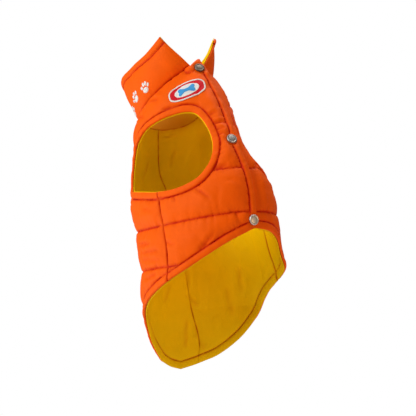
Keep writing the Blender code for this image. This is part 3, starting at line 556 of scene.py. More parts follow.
# ---- Flat panels ---------------------------------------------------------------------
class Panel:
    """A panel laid flat: x runs round the tube and y up it, in millimetres."""

    def __init__(self, middle_turn, outline, edges, seams, kept=(), creases=(), seed=0,
                 lapped=None):
        self.middle = middle_turn
        self.seed = seed
        self.creases = creases
        self.lapped = lapped or not_lapped
        column = TUBE.point(np.full(len(TUBE.levels), middle_turn), TUBE.levels)
        self.run = lengths(column)
        self.edges = [self.flat(evenly(line)) for line in edges]
        self.seams = [self.flat(evenly(line)) for line in seams]
        self.kept = [self.flat(evenly(line)) for line in kept]
        self.outline = np.concatenate([self.flat(evenly(line))[:-1] for line in outline])

    def flat(self, places):
        """Turns and levels laid flat."""
        places = np.asarray(places, float)
        x = (places[:, 0] - self.middle) * TUBE.girth(places[:, 1])
        y = -np.interp(places[:, 1], TUBE.levels, self.run)
        return np.stack([x, y], -1)

    def places(self, flat):
        """Flat points back to turns and levels."""
        level = np.interp(-flat[:, 1], self.run, TUBE.levels)
        turn = self.middle + flat[:, 0] / TUBE.girth(level)
        return turn, level

    def rings(self, lines, depths, others):
        """Rows of points that follow some lines at set depths inside the outline."""
        found = []
        for line in lines:
            aside = sideways(line)
            for depth in depths:
                ring = np.concatenate([line + aside * depth, line - aside * depth])
                ring = ring[inside(ring, self.outline)]
                found.append(ring[nearest(ring, others)[0] > depth - 0.05])
        return np.concatenate(found) if found else np.zeros((0, 2))

    def rows(self, clear_edge, clear_seam):
        """Staggered rows of points, crowded beside each line of quilting by a sine."""
        share = np.arange(ROWS) / ROWS
        share = share - ROW_CROWDING / (2 * np.pi) * np.sin(2 * np.pi * share)
        levels = (np.arange(LAST_QUILTING + 1)[:, None] + share).ravel()
        levels = np.concatenate([[-0.07, -0.035, 0.0], levels[1:]])
        low, high = self.outline.min(axis=0), self.outline.max(axis=0)
        x = np.arange(low[0], high[0], CELL)
        y = -np.interp(levels, TUBE.levels, self.run)
        keep = (y > low[1]) & (y < high[1])
        x, y = np.meshgrid(x, y[keep])
        x = x + (np.arange(len(x)) % 2)[:, None] * CELL / 2
        grid = np.stack([x.ravel(), y.ravel()], -1)
        grid = grid[inside(grid, self.outline)]
        grid = grid[nearest(grid, self.edges)[0] > clear_edge]
        return grid[nearest(grid, self.seams + self.kept)[0] > clear_seam]

    @lru_cache(None)
    def cut(self):
        """Points and triangles of the panel, joined by a constrained Delaunay net."""
        count = len(self.outline)
        points = [self.outline]
        links = [(k, (k + 1) % count) for k in range(count)]
        for line in self.kept:
            links += [(count + k, count + k + 1) for k in range(len(line) - 1)]
            count += len(line)
            points.append(line)
        every = self.edges + self.seams
        free = [self.rings(self.edges, EDGE_RINGS, every),
                self.rings(self.seams, SEAM_RINGS, every),
                self.rings(self.kept, SEAM_RINGS, self.kept),
                self.rows(EDGE_RINGS[-1] + 1.4, SEAM_RINGS[-1] + 1.4)]
        free = np.concatenate(free)
        if self.kept:
            beside = nearest(free, self.kept)[0]
            free = free[beside > SEAM_RINGS[0] - 0.05]
        points.append(free)
        verts, _, faces, *_ = delaunay_2d_cdt(
            [Vector(p) for p in np.concatenate(points)], links, [], 0, 1e-4)
        verts = np.array([tuple(v) for v in verts])
        faces = np.array(faces)
        return verts, faces[inside(verts[faces].mean(axis=1), self.outline)]

    def beside(self, flat):
        """Distances to the edges and seams, and how far along them each point lies."""
        edge, edge_run = nearest(flat, self.edges)
        seam, seam_run = nearest(flat, self.seams)
        return edge, edge_run, seam, seam_run

    def off_kept(self, flat):
        """Distance to the lines kept inside the panel, or far away where it has none."""
        return nearest(flat, self.kept)[0] if self.kept else np.full(len(flat), FAR)

    def off_quilting(self, turn, level):
        """The nearest line of quilting to each point, and the distance to it."""
        line = np.clip(np.round(level), FIRST_QUILTING, LAST_QUILTING)
        spacing = TUBE.read(TUBE.spacing, turn, level)[:, 0]
        return line, np.abs(level - line) * spacing

    def shell_relief(self, flat):
        """Rise of the shell's outer face and its painted shade: quilted puffs with soft folds,
        gathered stitch lines, creases and topstitched bands, all flat under the snaps. The
        painted shade darkens the cloth down in its stitch lines, seams, creases and puckers."""
        band = mm("band")
        turn, level = self.places(flat)
        edge, edge_run, seam, seam_run = self.beside(flat)
        line, quilting = self.off_quilting(turn, level)
        quilting = quilting + skipped(turn, level)
        side = np.where(level > line, 0, 40) + line.astype(int) * 3 + self.seed
        past = edge - band
        soft = rise(quilting) * rise(seam) * rise(past)
        x, y = flat.T
        puffs = soft * billowed(mm("puff"), x, y, self.seed, SHELL_BILLOWS, SHELL_FOLDS)
        clear = rise(np.minimum(seam, past) * 3)
        drawn = np.zeros(len(flat))
        for key in np.unique(side):
            here = side == key
            drawn[here] = clear[here] * 1.1 * gathered(
                quilting[here], x[here] + 900, int(key), QUILTING_GATHERS)
        drawn += gathered(np.maximum(past, 0), edge_run, self.seed, BAND_GATHERS)
        drawn += gathered(seam, seam_run, self.seed, SEAM_GATHERS)
        puffs += mm("pucker") * drawn
        creases = pressed(flat, self, self.creases) * ease(past / 1.5) * ease(seam / 3)
        bands = mm("band_rise") * crown(edge, band) * (
            1 + 0.25 * wave(edge_run / 7.0, self.seed + 17)
            + 0.2 * wave(edge_run / 3.1, self.seed + 18))
        height = np.where(past > 0, puffs - creases, bands)
        grooves = (bell(quilting, 1.1, 1.15) * ease(past), bell(past, 0.9, 1.1),
                   bell(seam, 1.0, 1.2))
        height = np.maximum(height - np.maximum.reduce(grooves), DEEPEST)
        height -= edge_drop(edge)
        # painted shade: darker down in the stitch lines, bands, seams and creases, where shade
        # falls
        marks = (bell(quilting, 1.25, 0.9) * ease(past / 2), bell(past, 1.2, 0.95),
                 bell(seam, 1.0), 0.5 * np.clip(creases, 0, 2) / 2)
        uneven = (0.82 + 0.34 * wave((x + y) / 9.0, self.seed + 19)
                  + 0.22 * wave((x - y) / 2.8, self.seed + 20))
        shade = np.maximum.reduce(marks) * uneven
        # painted shade in the valleys of the puckers beside the stitches
        shade += 0.22 * np.clip(-drawn - 0.25, 0, 1) * (past > 0)
        here = TUBE.point(turn, level)
        for snap in SNAPS:
            away = np.linalg.norm(here - TUBE.point([snap.turn], [snap.level]), axis=1)
            free = ease((away - SNAP_SMOOTH) / SNAP_SMOOTH_EASE)
            height, shade = height * free, shade * free
        return height, shade

    def lining_relief(self, flat):
        """How far the lining lies in from its tight form, and its painted shade: shallow billows
        between the stitch lines, a groove at each of them, and its own creases."""
        turn, level = self.places(flat)
        edge, edge_run, seam, seam_run = self.beside(flat)
        band = mm("band")
        _, quilting = self.off_quilting(turn, level)
        past = edge - band
        x, y = flat.T
        joined = self.off_kept(flat)
        soft = rise(np.maximum(past, 0)) * rise(np.minimum(seam, joined) * 1.5)
        depth = soft * billowed(0.5 * rise(quilting * 1.5) + 1.7, x, y, self.seed,
                                LINING_BILLOWS, LINING_FOLDS)
        creases = soft * pressed(flat, self, LINING_CREASES)
        depth += creases
        depth += gathered(np.maximum(past, 0), edge_run, self.seed, LINING_BAND_GATHERS)
        depth += gathered(np.minimum(seam, joined), seam_run + y, self.seed,
                          LINING_SEAM_GATHERS)
        flat_band = 0.9 * crown(edge, band) * (1 + 0.3 * wave(edge_run / 6.0, self.seed + 37))
        depth = np.where(past > 0, np.maximum(depth, 0.0), flat_band)
        depth -= bell(past, 1.0, LINING_GROOVE)
        # painted shade along the lining's kept seam: strong above level 2 and from level 4.7 to 6,
        # faint elsewhere
        seen = 0.1 + 0.75 * np.maximum(1 - ease((level - 2.0) / 0.6),
                                       ease((level - 4.7) / 0.3) * (1 - ease((level - 6.0) / 0.2)))
        # painted shade: darker at the band's stitch line, the seams and creases, and a painted
        # shadow high up near the neck
        marks = (bell(past, 1.0, 0.75), bell(seam, 1.3, 0.9), bell(joined, 0.9, seen),
                 0.5 * np.clip(creases, 0, 2) / 2,
                 0.5 * np.exp(-np.maximum(level, 0) / 0.12))
        shade = np.maximum.reduce(marks) * (0.8 + 0.3 * wave((x + y) / 6.0, self.seed + 38))
        return np.maximum(depth, -LINING_GROOVE), shade

    def outer_face(self, flat, lift=0.0):
        """Points on the shell's outer face, lifted off it by so much, and their painted shade."""
        turn, level = self.places(flat)
        low = self.lapped(turn, level)
        height, shade = self.shell_relief(flat)
        height = np.where(height > 0, height * (1 - low), height)
        return offset(turn, level, height + lift - LAP_DEPTH * low), shade

    def lining_top(self, turn, level):
        """Height of the lining's face that lies on the shell."""
        return -WALL - GAP - LAP_DEPTH * self.lapped(turn, level)

    def inner_face(self, flat, lift):
        """Points on the lining's face inside the coat, lifted off it by so much."""
        turn, level = self.places(flat)
        depth, _ = self.lining_relief(flat)
        return offset(turn, level, self.lining_top(turn, level) - LINING - depth - lift)


def skipped(turn, level):
    """Extra distance to a line of quilting that isn't sewn: the first one stops short of
    the strip of cloth between the right armhole and the snaps."""
    near = np.exp(-((turn - UNSEWN_TURN) / UNSEWN_REACH) ** 4)
    return UNSEWN_RISE * near * (level < FIRST_QUILTING + 0.5)


def billowed(height, x, y, seed, billows, folds=()):
    """A height with soft random fields and narrow folds added to it."""
    for form, rows in ((cloud, billows), (ridges, folds)):
        for row in rows:
            height = height + row.high * form(x / row.across, y / row.down, seed + row.seed)
    return height


def gathered(away, along, seed, gathers):
    """The puckers of several gathers along one stitch line, added up."""
    return sum(row.share * puckers(away, along, seed + row.seed, row.cell, row.reach)
               for row in gathers)


def shell_inside(edge):
    """Height of a shell's inner face, drawn up beside its free edges."""
    return -WALL + 0.5 * np.exp(-edge / 0.6)


def rolled(edge):
    """How far a lining is drawn in where its free edge is rolled."""
    return 0.35 * np.exp(-edge / 0.5)


def rise(distance_in):
    """Height of a puff, 0 at a stitch line and 1 a full reach away from it."""
    t = np.clip(distance_in / PUFF_REACH, 0.0, 1.0)
    return (1 - (1 - t) ** 2) ** 0.65


def lap_edge(level):
    """Turn of the right front's free edge."""
    return table(LAP_EDGE, level) / TUBE.girth(level)


def lap_under(level):
    """Turn of the left front's hidden edge."""
    return lap_edge(level) - LAP / TUBE.girth(level)


def lining_edge(level):
    """Turn at which the right front's lining ends, just short of the left front."""
    return lap_under(level) - LAP_ROOM / TUBE.girth(level)


def under_lap(turn, level):
    """How fully the left front lies under the right one, from 0 to 1."""
    past_edge = (turn - lap_edge(level)) * TUBE.girth(level)
    return 1 - ease((past_edge - LAP_CLEAR) / LAP_SLOPE)


def not_lapped(turn, level):
    """Stands in for under_lap on panels that lie under nothing."""
    return np.zeros(len(turn))


def mirrored(line):
    """The same line on the dog's right side."""
    return np.array(line, float) * (-1, 1)


def hem_lines(side):
    """The hem from the belly to a side seam, and from there to the centre back."""
    hem = spline(HEM)
    split = SIDE_HEM[side] * PER_KNOT
    return hem[:split + 1], hem[split:]


def front_edge(turn_at, top=0.0, bottom=HEM[0].level):
    """Line down a front at the turn that a function gives for each level."""
    levels = np.linspace(top, bottom, 60)
    return np.stack([turn_at(levels), levels], -1)


def front_outline(side, edge):
    """Outline of one front: neckline, shoulder, armhole, side, hem and free edge."""
    arm_front, _ = armhole(side)
    hem_front, _ = hem_lines(side)
    lines = [spline(SHOULDER_SEAM[side]), arm_front, spline(SIDE_SEAM[side])]
    if side < 0:
        lines = [mirrored(line) for line in lines + [hem_front[::-1]]]
    else:
        lines.append(spline(LEFT_FRONT_HEM)[::-1])
    shoulder, arm, side_seam, hem = lines
    free = front_edge(edge, top=FIRST_LEVEL if side < 0 else 0.0)[::-1]
    hem_end = np.linspace(hem[-1], free[0], 4)
    collar_start = (side * COLLAR_START, 0.0)
    throat = np.linspace(free[-1], collar_start, 12)
    neck = np.linspace(collar_start, shoulder[0], 40)
    bands = [arm, hem, hem_end, free, throat]
    lines = [throat, neck, shoulder, arm, side_seam, hem, hem_end, free]
    return lines, bands, [neck, shoulder, side_seam]


def end_on(panel, place, line):
    """Place on a flat line that lies nearest to a given place."""
    flat = panel.flat([place])[0]
    best = line[np.argmin(np.linalg.norm(line - flat, axis=1))]
    return np.concatenate(panel.places(best[None]))


@lru_cache(None)
def right_front():
    """The right front, with its lining's free edge kept as a line."""
    lines, bands, seams = front_outline(-1, lap_edge)
    plain = Panel(RIGHT_MIDDLE, lines, bands, seams)
    under = front_edge(lining_edge, bottom=HEM[SIDE_HEM[-1]].level)
    under = under[inside(plain.flat(under), plain.outline)]
    hem = plain.flat(np.concatenate([lines[5], lines[6]]))
    under = np.concatenate([under, [end_on(plain, under[-1], hem)]])
    return Panel(RIGHT_MIDDLE, lines, bands, seams, [under], RIGHT_CREASES, seed=100)


@lru_cache(None)
def left_front():
    """The left front, which runs on under the right one."""
    lines, bands, seams = front_outline(1, lap_under)
    return Panel(LEFT_MIDDLE, lines, bands[:2], seams, (), LEFT_CREASES, seed=200,
                 lapped=under_lap)


def swayed(line):
    """The tail's hem moved with its middle line."""
    return line - np.stack([table(TAIL_SWAY, line[:, 1]), np.zeros(len(line))], -1)


def back_side(side):
    """Shoulder seam, armhole and side seam of the back panel on one side."""
    return spline(SHOULDER_SEAM[side]), armhole(side)[1][::-1], spline(SIDE_SEAM[side])


@lru_cache(None)
def back_panel():
    """The back, from side seam to side seam, with the seam of its lining kept."""
    shoulder_l, arm_l, side_l = back_side(1)
    shoulder_r, arm_r, side_r = [line * (-1, 1) + (2, 0) for line in back_side(-1)]
    hem_l = swayed(hem_lines(1)[1])
    hem_r = swayed(hem_lines(-1)[1] * (-1, 1) + (2, 0))
    neck = np.linspace(shoulder_r[0], shoulder_l[0], 40)
    lines = [neck, shoulder_l, arm_l, side_l, hem_l, hem_r[::-1],
             side_r[::-1], arm_r[::-1], shoulder_r[::-1]]
    edges = [arm_l, arm_r, hem_l, hem_r]
    seams = [neck, shoulder_l, side_l, shoulder_r, side_r]
    plain = Panel(BACK_MIDDLE, lines, edges, seams)
    levels = np.linspace(0.0, LAST_LEVEL, 120)
    seam = np.stack([1.0 - table(LINING_SEAM, levels), levels], -1)
    seam = seam[inside(plain.flat(seam), plain.outline)]
    bottom = end_on(plain, seam[-1], plain.flat(np.concatenate([hem_l, hem_r])))
    seam = np.concatenate([[[seam[0, 0], 0.0]], seam, [bottom]])
    return Panel(BACK_MIDDLE, lines, edges, seams, [seam], BACK_CREASES, seed=300)


# ---- Meshes --------------------------------------------------------------------------
ON_EDGE = 0.3          # distance within which a point counts as on a free edge
EDGE_PULL = 0.3        # how far a shell's free edges are drawn in
LINING_EDGE_PULL = -0.5    # a lining reaches past them
LINING_SEAM_PULL = 0.1     # and stops this short of its seams
LINING_THINNEST = 0.25


def make_mesh(name, points, faces, material, uv=None, shade=None):
    """A mesh piece in metres, from points in millimetres and lists of corners."""
    mesh = bpy.data.meshes.new(name)
    mesh.from_pydata((np.asarray(points) * MM).tolist(), [], faces)
    mesh.update()
    if uv is not None:
        layer = mesh.uv_layers.new(name="Cloth")
        corners = np.empty(len(mesh.loops), int)
        mesh.loops.foreach_get("vertex_index", corners)
        layer.data.foreach_set("uv", (np.asarray(uv)[corners] * MM).ravel())
    # painted shade on the points, which the material turns into a darker colour
    if shade is not None:
        layer = mesh.attributes.new("Shade", "FLOAT", "POINT")
        layer.data.foreach_set("value", np.clip(shade, 0.0, 1.0))
    mesh.shade_smooth()
    mesh.materials.append(material)
    piece = bpy.data.objects.new(name, mesh)
    bpy.context.scene.collection.objects.link(piece)
    return piece


def finished(piece, slot, *nodes):
    """Fixes a piece to the coat's one body and hides the imported parts it takes the place of."""
    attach(piece, BODY)
    if nodes:
        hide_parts(*nodes)
    return piece


def open_edges(faces):
    """Directed edges that only one triangle has."""
    edges = np.concatenate([faces[:, [0, 1]], faces[:, [1, 2]], faces[:, [2, 0]]])
    base = int(faces.max()) + 1
    keys = edges[:, 0] * base + edges[:, 1]
    back = edges[:, 1] * base + edges[:, 0]
    return edges[~np.isin(keys, back)]


def pull_in(flat, faces, amount):
    """Moves the points of a cut edge inwards, or outwards by a negative amount."""
    flat = flat.copy()
    push = np.zeros_like(flat)
    edges = open_edges(faces)
    along = flat[edges[:, 1]] - flat[edges[:, 0]]
    aside = unit(np.stack([-along[:, 1], along[:, 0]], -1))
    np.add.at(push, edges[:, 0], aside)
    np.add.at(push, edges[:, 1], aside)
    size = np.linalg.norm(push, axis=1, keepdims=True)
    moved = size[:, 0] > 0.2
    amount = np.broadcast_to(np.asarray(amount, float), len(flat))[moved, None]
    flat[moved] += push[moved] / size[moved] ** 2 * 2 * amount
    return flat


def wall(name, outer, inner, faces, material, uv, shade):
    """Closed cloth between two faces that share their triangles."""
    used = np.unique(faces)
    index = np.full(len(outer), -1)
    index[used] = np.arange(len(used))
    faces = index[faces]
    count = len(used)
    rim = open_edges(faces)
    a, b = rim[:, 0], rim[:, 1]
    every = faces.tolist() + (faces[:, ::-1] + count).tolist()
    every += np.stack([b, a, a + count, b + count], -1).tolist()
    points = np.concatenate([outer[used], inner[used]])
    uv = np.concatenate([uv[used], uv[used]])
    return make_mesh(name, points, every, material, uv, np.concatenate([shade[used]] * 2))


def sew_shell(panel, name, node):
    """The padded outer cloth of one panel: two faces of points at their own heights."""
    flat, faces = panel.cut()
    edge = nearest(flat, panel.edges)[0]
    cut = pull_in(flat, faces, np.where(edge < ON_EDGE, EDGE_PULL, 0.0))
    turn, level = panel.places(cut)
    outer, shade = panel.outer_face(cut)
    inner = shell_inside(edge) - LAP_DEPTH * panel.lapped(turn, level)
    piece = wall(name, outer, offset(turn, level, inner), faces, finish("orange_nylon"), cut,
                 shade)
    finished(piece, "orange_cloth", node)


def sew_lining(panel, name, node, chosen):
    """The lining of one panel, a thin wall that billows a little into the coat."""
    flat, faces = panel.cut()
    turn, level = panel.places(flat[faces].mean(axis=1))
    faces = faces[chosen(turn, level)]
    edge = nearest(flat, panel.edges)[0]
    cut = pull_in(flat, faces, np.where(edge < ON_EDGE, LINING_EDGE_PULL, LINING_SEAM_PULL))
    turn, level = panel.places(cut)
    top = panel.lining_top(turn, level)
    depth, shade = panel.lining_relief(cut)
    seam = nearest(flat, panel.seams)[0]
    joined = panel.off_kept(flat)
    valley = np.maximum(0.65 * np.exp(-seam / 0.9), 0.35 * np.exp(-joined / 0.9))
    outer = top - np.maximum(depth - 0.6, 0.0) * 0.9 - rolled(edge)
    inner = top - LINING - depth + valley + rolled(edge)
    inner = np.minimum(inner, outer - LINING_THINNEST)
    piece = wall(name, offset(turn, level, outer), offset(turn, level, inner),
                 faces, finish("yellow_taffeta"), cut, shade)
    finished(piece, "yellow_lining", node)
    wide, long = np.ptp(flat[np.unique(faces)], axis=0) * MM
    cut_area(flat, faces)


def cut_area(flat, faces):
    """Area of a flat cut, in square metres."""
    a, b, c = flat[faces[:, 0]], flat[faces[:, 1]], flat[faces[:, 2]]
    ab, ac = b - a, c - a
    return float(np.abs(ab[:, 0] * ac[:, 1] - ab[:, 1] * ac[:, 0]).sum() / 2) * MM * MM


# ---- Collar --------------------------------------------------------------------------
def spaced(size, start_rings, end_rings, cell=CELL):
    """Distances from 0 to a size, close together at both ends as their rings say."""
    start, end = np.array((0.0, *start_rings)), size - np.array((*end_rings[::-1], 0.0))
    count = max(2, int((end[0] - start[-1]) / cell))
    return np.concatenate([start, np.linspace(start[-1], end[0], count + 1)[1:-1], end])


class Collar:
    """The standing collar on a grid: columns round the neck, rows from its foot up."""
    outer_height = 37.0    # rows are spaced for this height and stretched to the real one

    def __init__(self):
        girth = TUBE.girth(0.0)
        first, last = COLLAR_START * girth, (2 - COLLAR_START) * girth
        self.turns = (first + spaced(last - first, EDGE_RINGS, EDGE_RINGS)) / girth
        share = 1 - np.abs(self.turns - 1)
        rows = np.array(COLLAR_TOP, float)
        top = smooth(rows[:, 0], rows[:, 1:], share)
        top[:, 2] += COLLAR_LEFT_LIFT * (self.turns < 1) * (1 - ease(share * 4 - 0.3))
        top[:, 0] *= np.where(self.turns > 1, -1, 1)
        foot = TUBE.point(self.turns, np.zeros(len(self.turns)))
        foot = foot + unit(top - foot) * COLLAR_FOOT_LIFT
        self.shares = spaced(self.outer_height, SEAM_RINGS, EDGE_RINGS, 1.5) / self.outer_height
        height = self.shares[:, None, None]
        points = foot + (top - foot) * height
        normals = self.face_normals(points)
        bulge = COLLAR_BULGE + (COLLAR_BACK_BULGE - COLLAR_BULGE) * ease(share * 2 - 1)
        points = points + normals * (bulge * np.sin(np.pi * height[..., 0]))[..., None]
        normals = self.face_normals(points)
        body = TUBE.normal(self.turns, np.zeros(len(self.turns)))
        normals = body + (normals - body) * ease(height * 3)
        self.points = points
        self.normals = unit(normals)
        steps = np.linalg.norm(np.diff(points, axis=1), axis=-1)
        self.along = np.concatenate([np.zeros((len(points), 1)), steps.cumsum(axis=1)], axis=1)
        self.tall = np.linalg.norm(top - foot, axis=1)
        self.from_foot = height[..., 0] * self.tall
        self.from_top = self.tall - self.from_foot
        self.from_end = np.minimum(self.along, self.along[:, -1:] - self.along)
        self.from_edge = np.minimum(self.from_top, self.from_end)

    @staticmethod
    def face_normals(points):
        """Outward direction at each point, across its rows and columns."""
        return unit(np.cross(np.gradient(points, axis=1), np.gradient(points, axis=0)))

    def height(self):
        """Rise of the outer face: padding below the topstitched band, soft folds, rounded
        free edges and a valley at the neck seam."""
        band, pucker = mm("band"), mm("pucker")
        run, up = self.along, self.from_foot
        past = self.from_top - band
        ends = np.maximum(self.from_end - 2.0, 0.0)
        soft = rise(np.maximum(past, 0) * 2) * rise(up * 2) * rise(ends * 1.5)
        puffs = soft * billowed(mm("collar_puff"), run, up, 0, COLLAR_BILLOWS)
        puffs += pucker * 0.8 * gathered(np.maximum(past, 0), run, 0, COLLAR_BAND_GATHERS)
        puffs += pucker * 0.8 * gathered(up, run, 0, COLLAR_SEAM_GATHERS)
        ridge = mm("band_rise") * crown(self.from_top, band) * (1 + 0.25 * wave(run / 7.0, 79))
        height = np.where(past > 0, puffs, ridge)
        grooves = (bell(past, 0.9, 1.2), bell(up, 1.0, 1.3))
        height = np.maximum(height - np.maximum.reduce(grooves), DEEPEST)
        return height - edge_drop(self.from_edge)

    def shade(self):
        """Painted shade along the collar's stitch line and down in its seam."""
        marks = np.maximum(bell(self.from_top - mm("band"), 1.2, 0.95),
                           bell(self.from_foot, 1.2))
        return (marks * (0.82 + 0.3 * wave(self.along / 6.0, 77))).ravel()

    def lining_shade(self):
        """Painted shade inside: along its stitch line, and a painted shadow low down at the back.
        """
        # painted shadow low down at the back of the collar's lining
        low = 0.62 * np.exp(-(self.from_foot / 26.0) ** 4) * np.exp(
            -((self.turns - 0.93) / 0.3) ** 4)
        return np.maximum(0.6 * self.shade(), low.ravel())

    def lining_depth(self):
        """How far the collar's lining billows in from its tight form."""
        past = np.maximum(self.from_top - mm("band"), 0)
        soft = rise(past * 2) * rise(self.from_foot * 2) * rise(self.from_end * 2)
        depth = soft * billowed(0.8, self.along, self.from_foot, 0, COLLAR_LINING_BILLOWS)
        depth += gathered(past, self.along, 0, COLLAR_LINING_GATHERS)
        return np.maximum(depth, 0.0)

    def face(self, height):
        """The collar's face raised by a height along its normals."""
        return self.points + self.normals * np.asarray(height)[..., None]

    def read(self, grid, turn, share):
        """Value of a grid at any turn and share of the height, linear between points."""
        column = np.interp(turn, self.turns, np.arange(len(self.turns)))
        row = np.interp(share, self.shares, np.arange(len(self.shares)))
        return between(grid, row, column)


@lru_cache(None)
def the_collar():
    """The collar, worked out once."""
    return Collar()


def grid_faces(rows, columns):
    """Triangles of a grid of points, counter-clockwise from outside."""
    corner = np.arange(rows * columns).reshape(rows, columns)
    a, b = corner[:-1, :-1].ravel(), corner[:-1, 1:].ravel()
    c, d = corner[1:, 1:].ravel(), corner[1:, :-1].ravel()
    return np.concatenate([np.stack([a, b, c], -1), np.stack([a, c, d], -1)])


# ---- Small pieces --------------------------------------------------------------------
def frames(normals):
    """Two directions across each normal, for small pieces that lie on cloth."""
    up = np.zeros_like(normals)
    up[:, 2] = 1.0
    side = unit(np.cross(up, normals))
    return side, np.cross(normals, side)


def circle(count):
    """Equal angles round a whole turn."""
    return np.linspace(0, 2 * np.pi, count, endpoint=False)


def ring_corners(rows, columns):
    """Point numbers of a grid that closes round its columns, and those one column on."""
    corner = np.arange(rows * columns).reshape(rows, columns)
    return corner, np.roll(corner, -1, axis=1)


# Rings of a stitch, as shares of half its length and of its thickness.
STITCH_RINGS = ((-1.0, 0.35), (-0.72, 1.0), (0.72, 1.0), (1.0, 0.35))
STITCH_SIDES = 6
STITCH_LENGTH = 2.3
STITCH_WIDTH = 0.55
STITCH_TALL = 0.5
TURNED_STEPS = 64      # points round a turned piece
CORD_SIDES = 10
PAD_CROWDING = 1.6     # how much closer a pad's rings lie beside its rim
PAD_FOOT = 0.3         # how far a pad's sides go down below its rim


def stitch_mesh(name, places, tangents, normals, material):
    """Short threads: a capsule of four rings for each place, laid along its tangent."""
    shape = np.array([(at * STITCH_LENGTH / 2, np.cos(a) * size * STITCH_WIDTH / 2,
                       np.sin(a) * size * STITCH_TALL / 2)
                      for at, size in STITCH_RINGS for a in circle(STITCH_SIDES)])
    tangents = unit(tangents)
    side = unit(np.cross(normals, tangents))
    up = np.cross(tangents, side)
    points = (places[:, None] + shape[None, :, :1] * tangents[:, None]
              + shape[None, :, 1:2] * side[:, None] + shape[None, :, 2:] * up[:, None])
    one = []
    for ring in range(len(STITCH_RINGS) - 1):
        for k in range(STITCH_SIDES):
            a, b = ring * STITCH_SIDES + k, ring * STITCH_SIDES + (k + 1) % STITCH_SIDES
            one.append((a, b, b + STITCH_SIDES, a + STITCH_SIDES))
    quads = (np.array(one)[None] + np.arange(len(places))[:, None, None] * len(shape))
    quads = quads[..., ::-1].reshape(-1, 4)
    cap = np.arange(STITCH_SIDES)
    caps = np.array([cap, (cap + len(shape) - STITCH_SIDES)[::-1]])
    caps = (caps[None] + np.arange(len(places))[:, None, None] * len(shape))
    faces = quads.tolist() + caps.reshape(-1, STITCH_SIDES).tolist()
    return make_mesh(name, points.reshape(-1, 3), faces, material)


def stitch_places(panel, lines, depth, pitch, surface):
    """Middles, tangents and normals of the stitches that follow lines at a depth inside
    the panel, or on the lines themselves at a depth of 0."""
    found = []
    for line in lines:
        aside = sideways(line) * depth
        rows = [line + aside, line - aside] if depth else [line]
        row = max(rows, key=lambda r: inside(r, panel.outline).mean())
        row = resample(row, pitch)
        ends = np.gradient(row, axis=0)
        keep = inside(row, panel.outline)
        keep &= nearest(row, panel.edges)[0] > max(depth, 1.0) - 0.05
        keep &= nearest(row, panel.seams)[0] > 1.0
        row, ends = row[keep], unit(ends[keep])
        middle, ahead, behind = surface(row), surface(row + ends), surface(row - ends)
        normal = TUBE.normal(*panel.places(row))
        found.append(np.stack([middle, ahead - behind, normal]))
    return np.concatenate(found, axis=1)


def quilting_lines(panel):
    """The panel's lines of quilting, one for each whole level."""
    low, high = panel.outline.min(axis=0), panel.outline.max(axis=0)
    x = np.arange(low[0], high[0], CELL)
    found = []
    for level in range(FIRST_QUILTING, LAST_QUILTING + 1):
        y = -np.interp(level, TUBE.levels, panel.run)
        line = np.stack([x, np.full(len(x), y)], -1)
        keep = inside(line, panel.outline)
        keep &= nearest(line, panel.edges)[0] > mm("band") + 0.8
        gaps = np.flatnonzero(np.diff(np.flatnonzero(keep)) > 1)
        runs = np.split(line[keep], gaps + 1)
        found += [run for run in runs if len(run) > 3]
    return found


def turned_mesh(name, profile, place, height, wear_and_painted_shade=0.0, outward=True):
    """A lathe-turned piece on the cloth: a profile of radius and height, from its top
    centre to its bottom centre, carried round the cloth's normal."""
    profile = np.array(profile, float)
    normal = TUBE.normal([place.turn], [place.level])
    side, up = frames(normal)
    axis = normal if outward else -normal
    if not outward:
        side = -side
    middle = TUBE.point([place.turn], [place.level]) + normal * height
    angle = circle(TURNED_STEPS)
    ring = np.cos(angle)[:, None] * side + np.sin(angle)[:, None] * up
    body = profile[1:-1]
    points = (middle + body[:, None, :1] * ring + body[:, None, 1:] * axis).reshape(-1, 3)
    points = np.concatenate([points, middle + profile[0, 1] * axis,
                             middle + profile[-1, 1] * axis])
    rows = len(body)
    corner, after = ring_corners(rows, TURNED_STEPS)
    faces = np.stack([corner[:-1], corner[1:], after[1:], after[:-1]], -1).reshape(-1, 4).tolist()
    top, bottom = rows * TURNED_STEPS, rows * TURNED_STEPS + 1
    faces += [[top, int(a), int(b)] for a, b in zip(corner[0], after[0])]
    faces += [[bottom, int(b), int(a)] for a, b in zip(corner[-1], after[-1])]
    # the cap's painted shade, the same all over the piece
    return make_mesh(name, points, faces, finish("worn_nickel"), shade=np.full(len(points), wear_and_painted_shade))


def pad_mesh(name, outlines, surface, pad, material):
    """Raised pads on cloth. Each flat outline is shrunk towards its middle ring by ring,
    and its height goes from low at the rim to high as a quarter of an ellipse."""
    low, high, edge, rings = pad
    points, faces, uv, start = [], [], [], 0
    for outline in outlines:
        middle = outline.mean(axis=0)
        count = len(outline)
        share = 1 - np.linspace(0, 1, rings + 1)[:-1] ** PAD_CROWDING
        flat = middle + (outline - middle)[None] * share[:, None, None]
        size = np.linalg.norm(outline - middle, axis=1).mean()
        depth = (1 - share) * size
        round_up = np.sqrt(1 - np.clip(1 - depth / edge, 0, 1) ** 2)
        flat = np.concatenate([flat.reshape(-1, 2), middle[None]])
        lift = np.concatenate([np.repeat(low + (high - low) * round_up, count), [high]])
        place, normal = surface(flat)
        top = place + normal * lift[:, None]
        foot = place[:count] + normal[:count] * (low - PAD_FOOT)
        points += [top, foot]
        uv += [flat, flat[:count]]
        corner, after = ring_corners(rings, count)
        quads = np.stack([corner[:-1], after[:-1], after[1:], corner[1:]], -1).reshape(-1, 4)
        fan = np.stack([corner[-1], after[-1], np.full(count, rings * count)], -1)
        under = np.arange(count) + rings * count + 1
        sides = np.stack([under, np.roll(under, -1), after[0], corner[0]], -1)
        faces += (quads + start).tolist() + (fan + start).tolist() + (sides + start).tolist()
        faces.append((under[::-1] + start).tolist())
        start += rings * count + 1 + count
    return make_mesh(name, np.concatenate(points), faces, material, np.concatenate(uv))


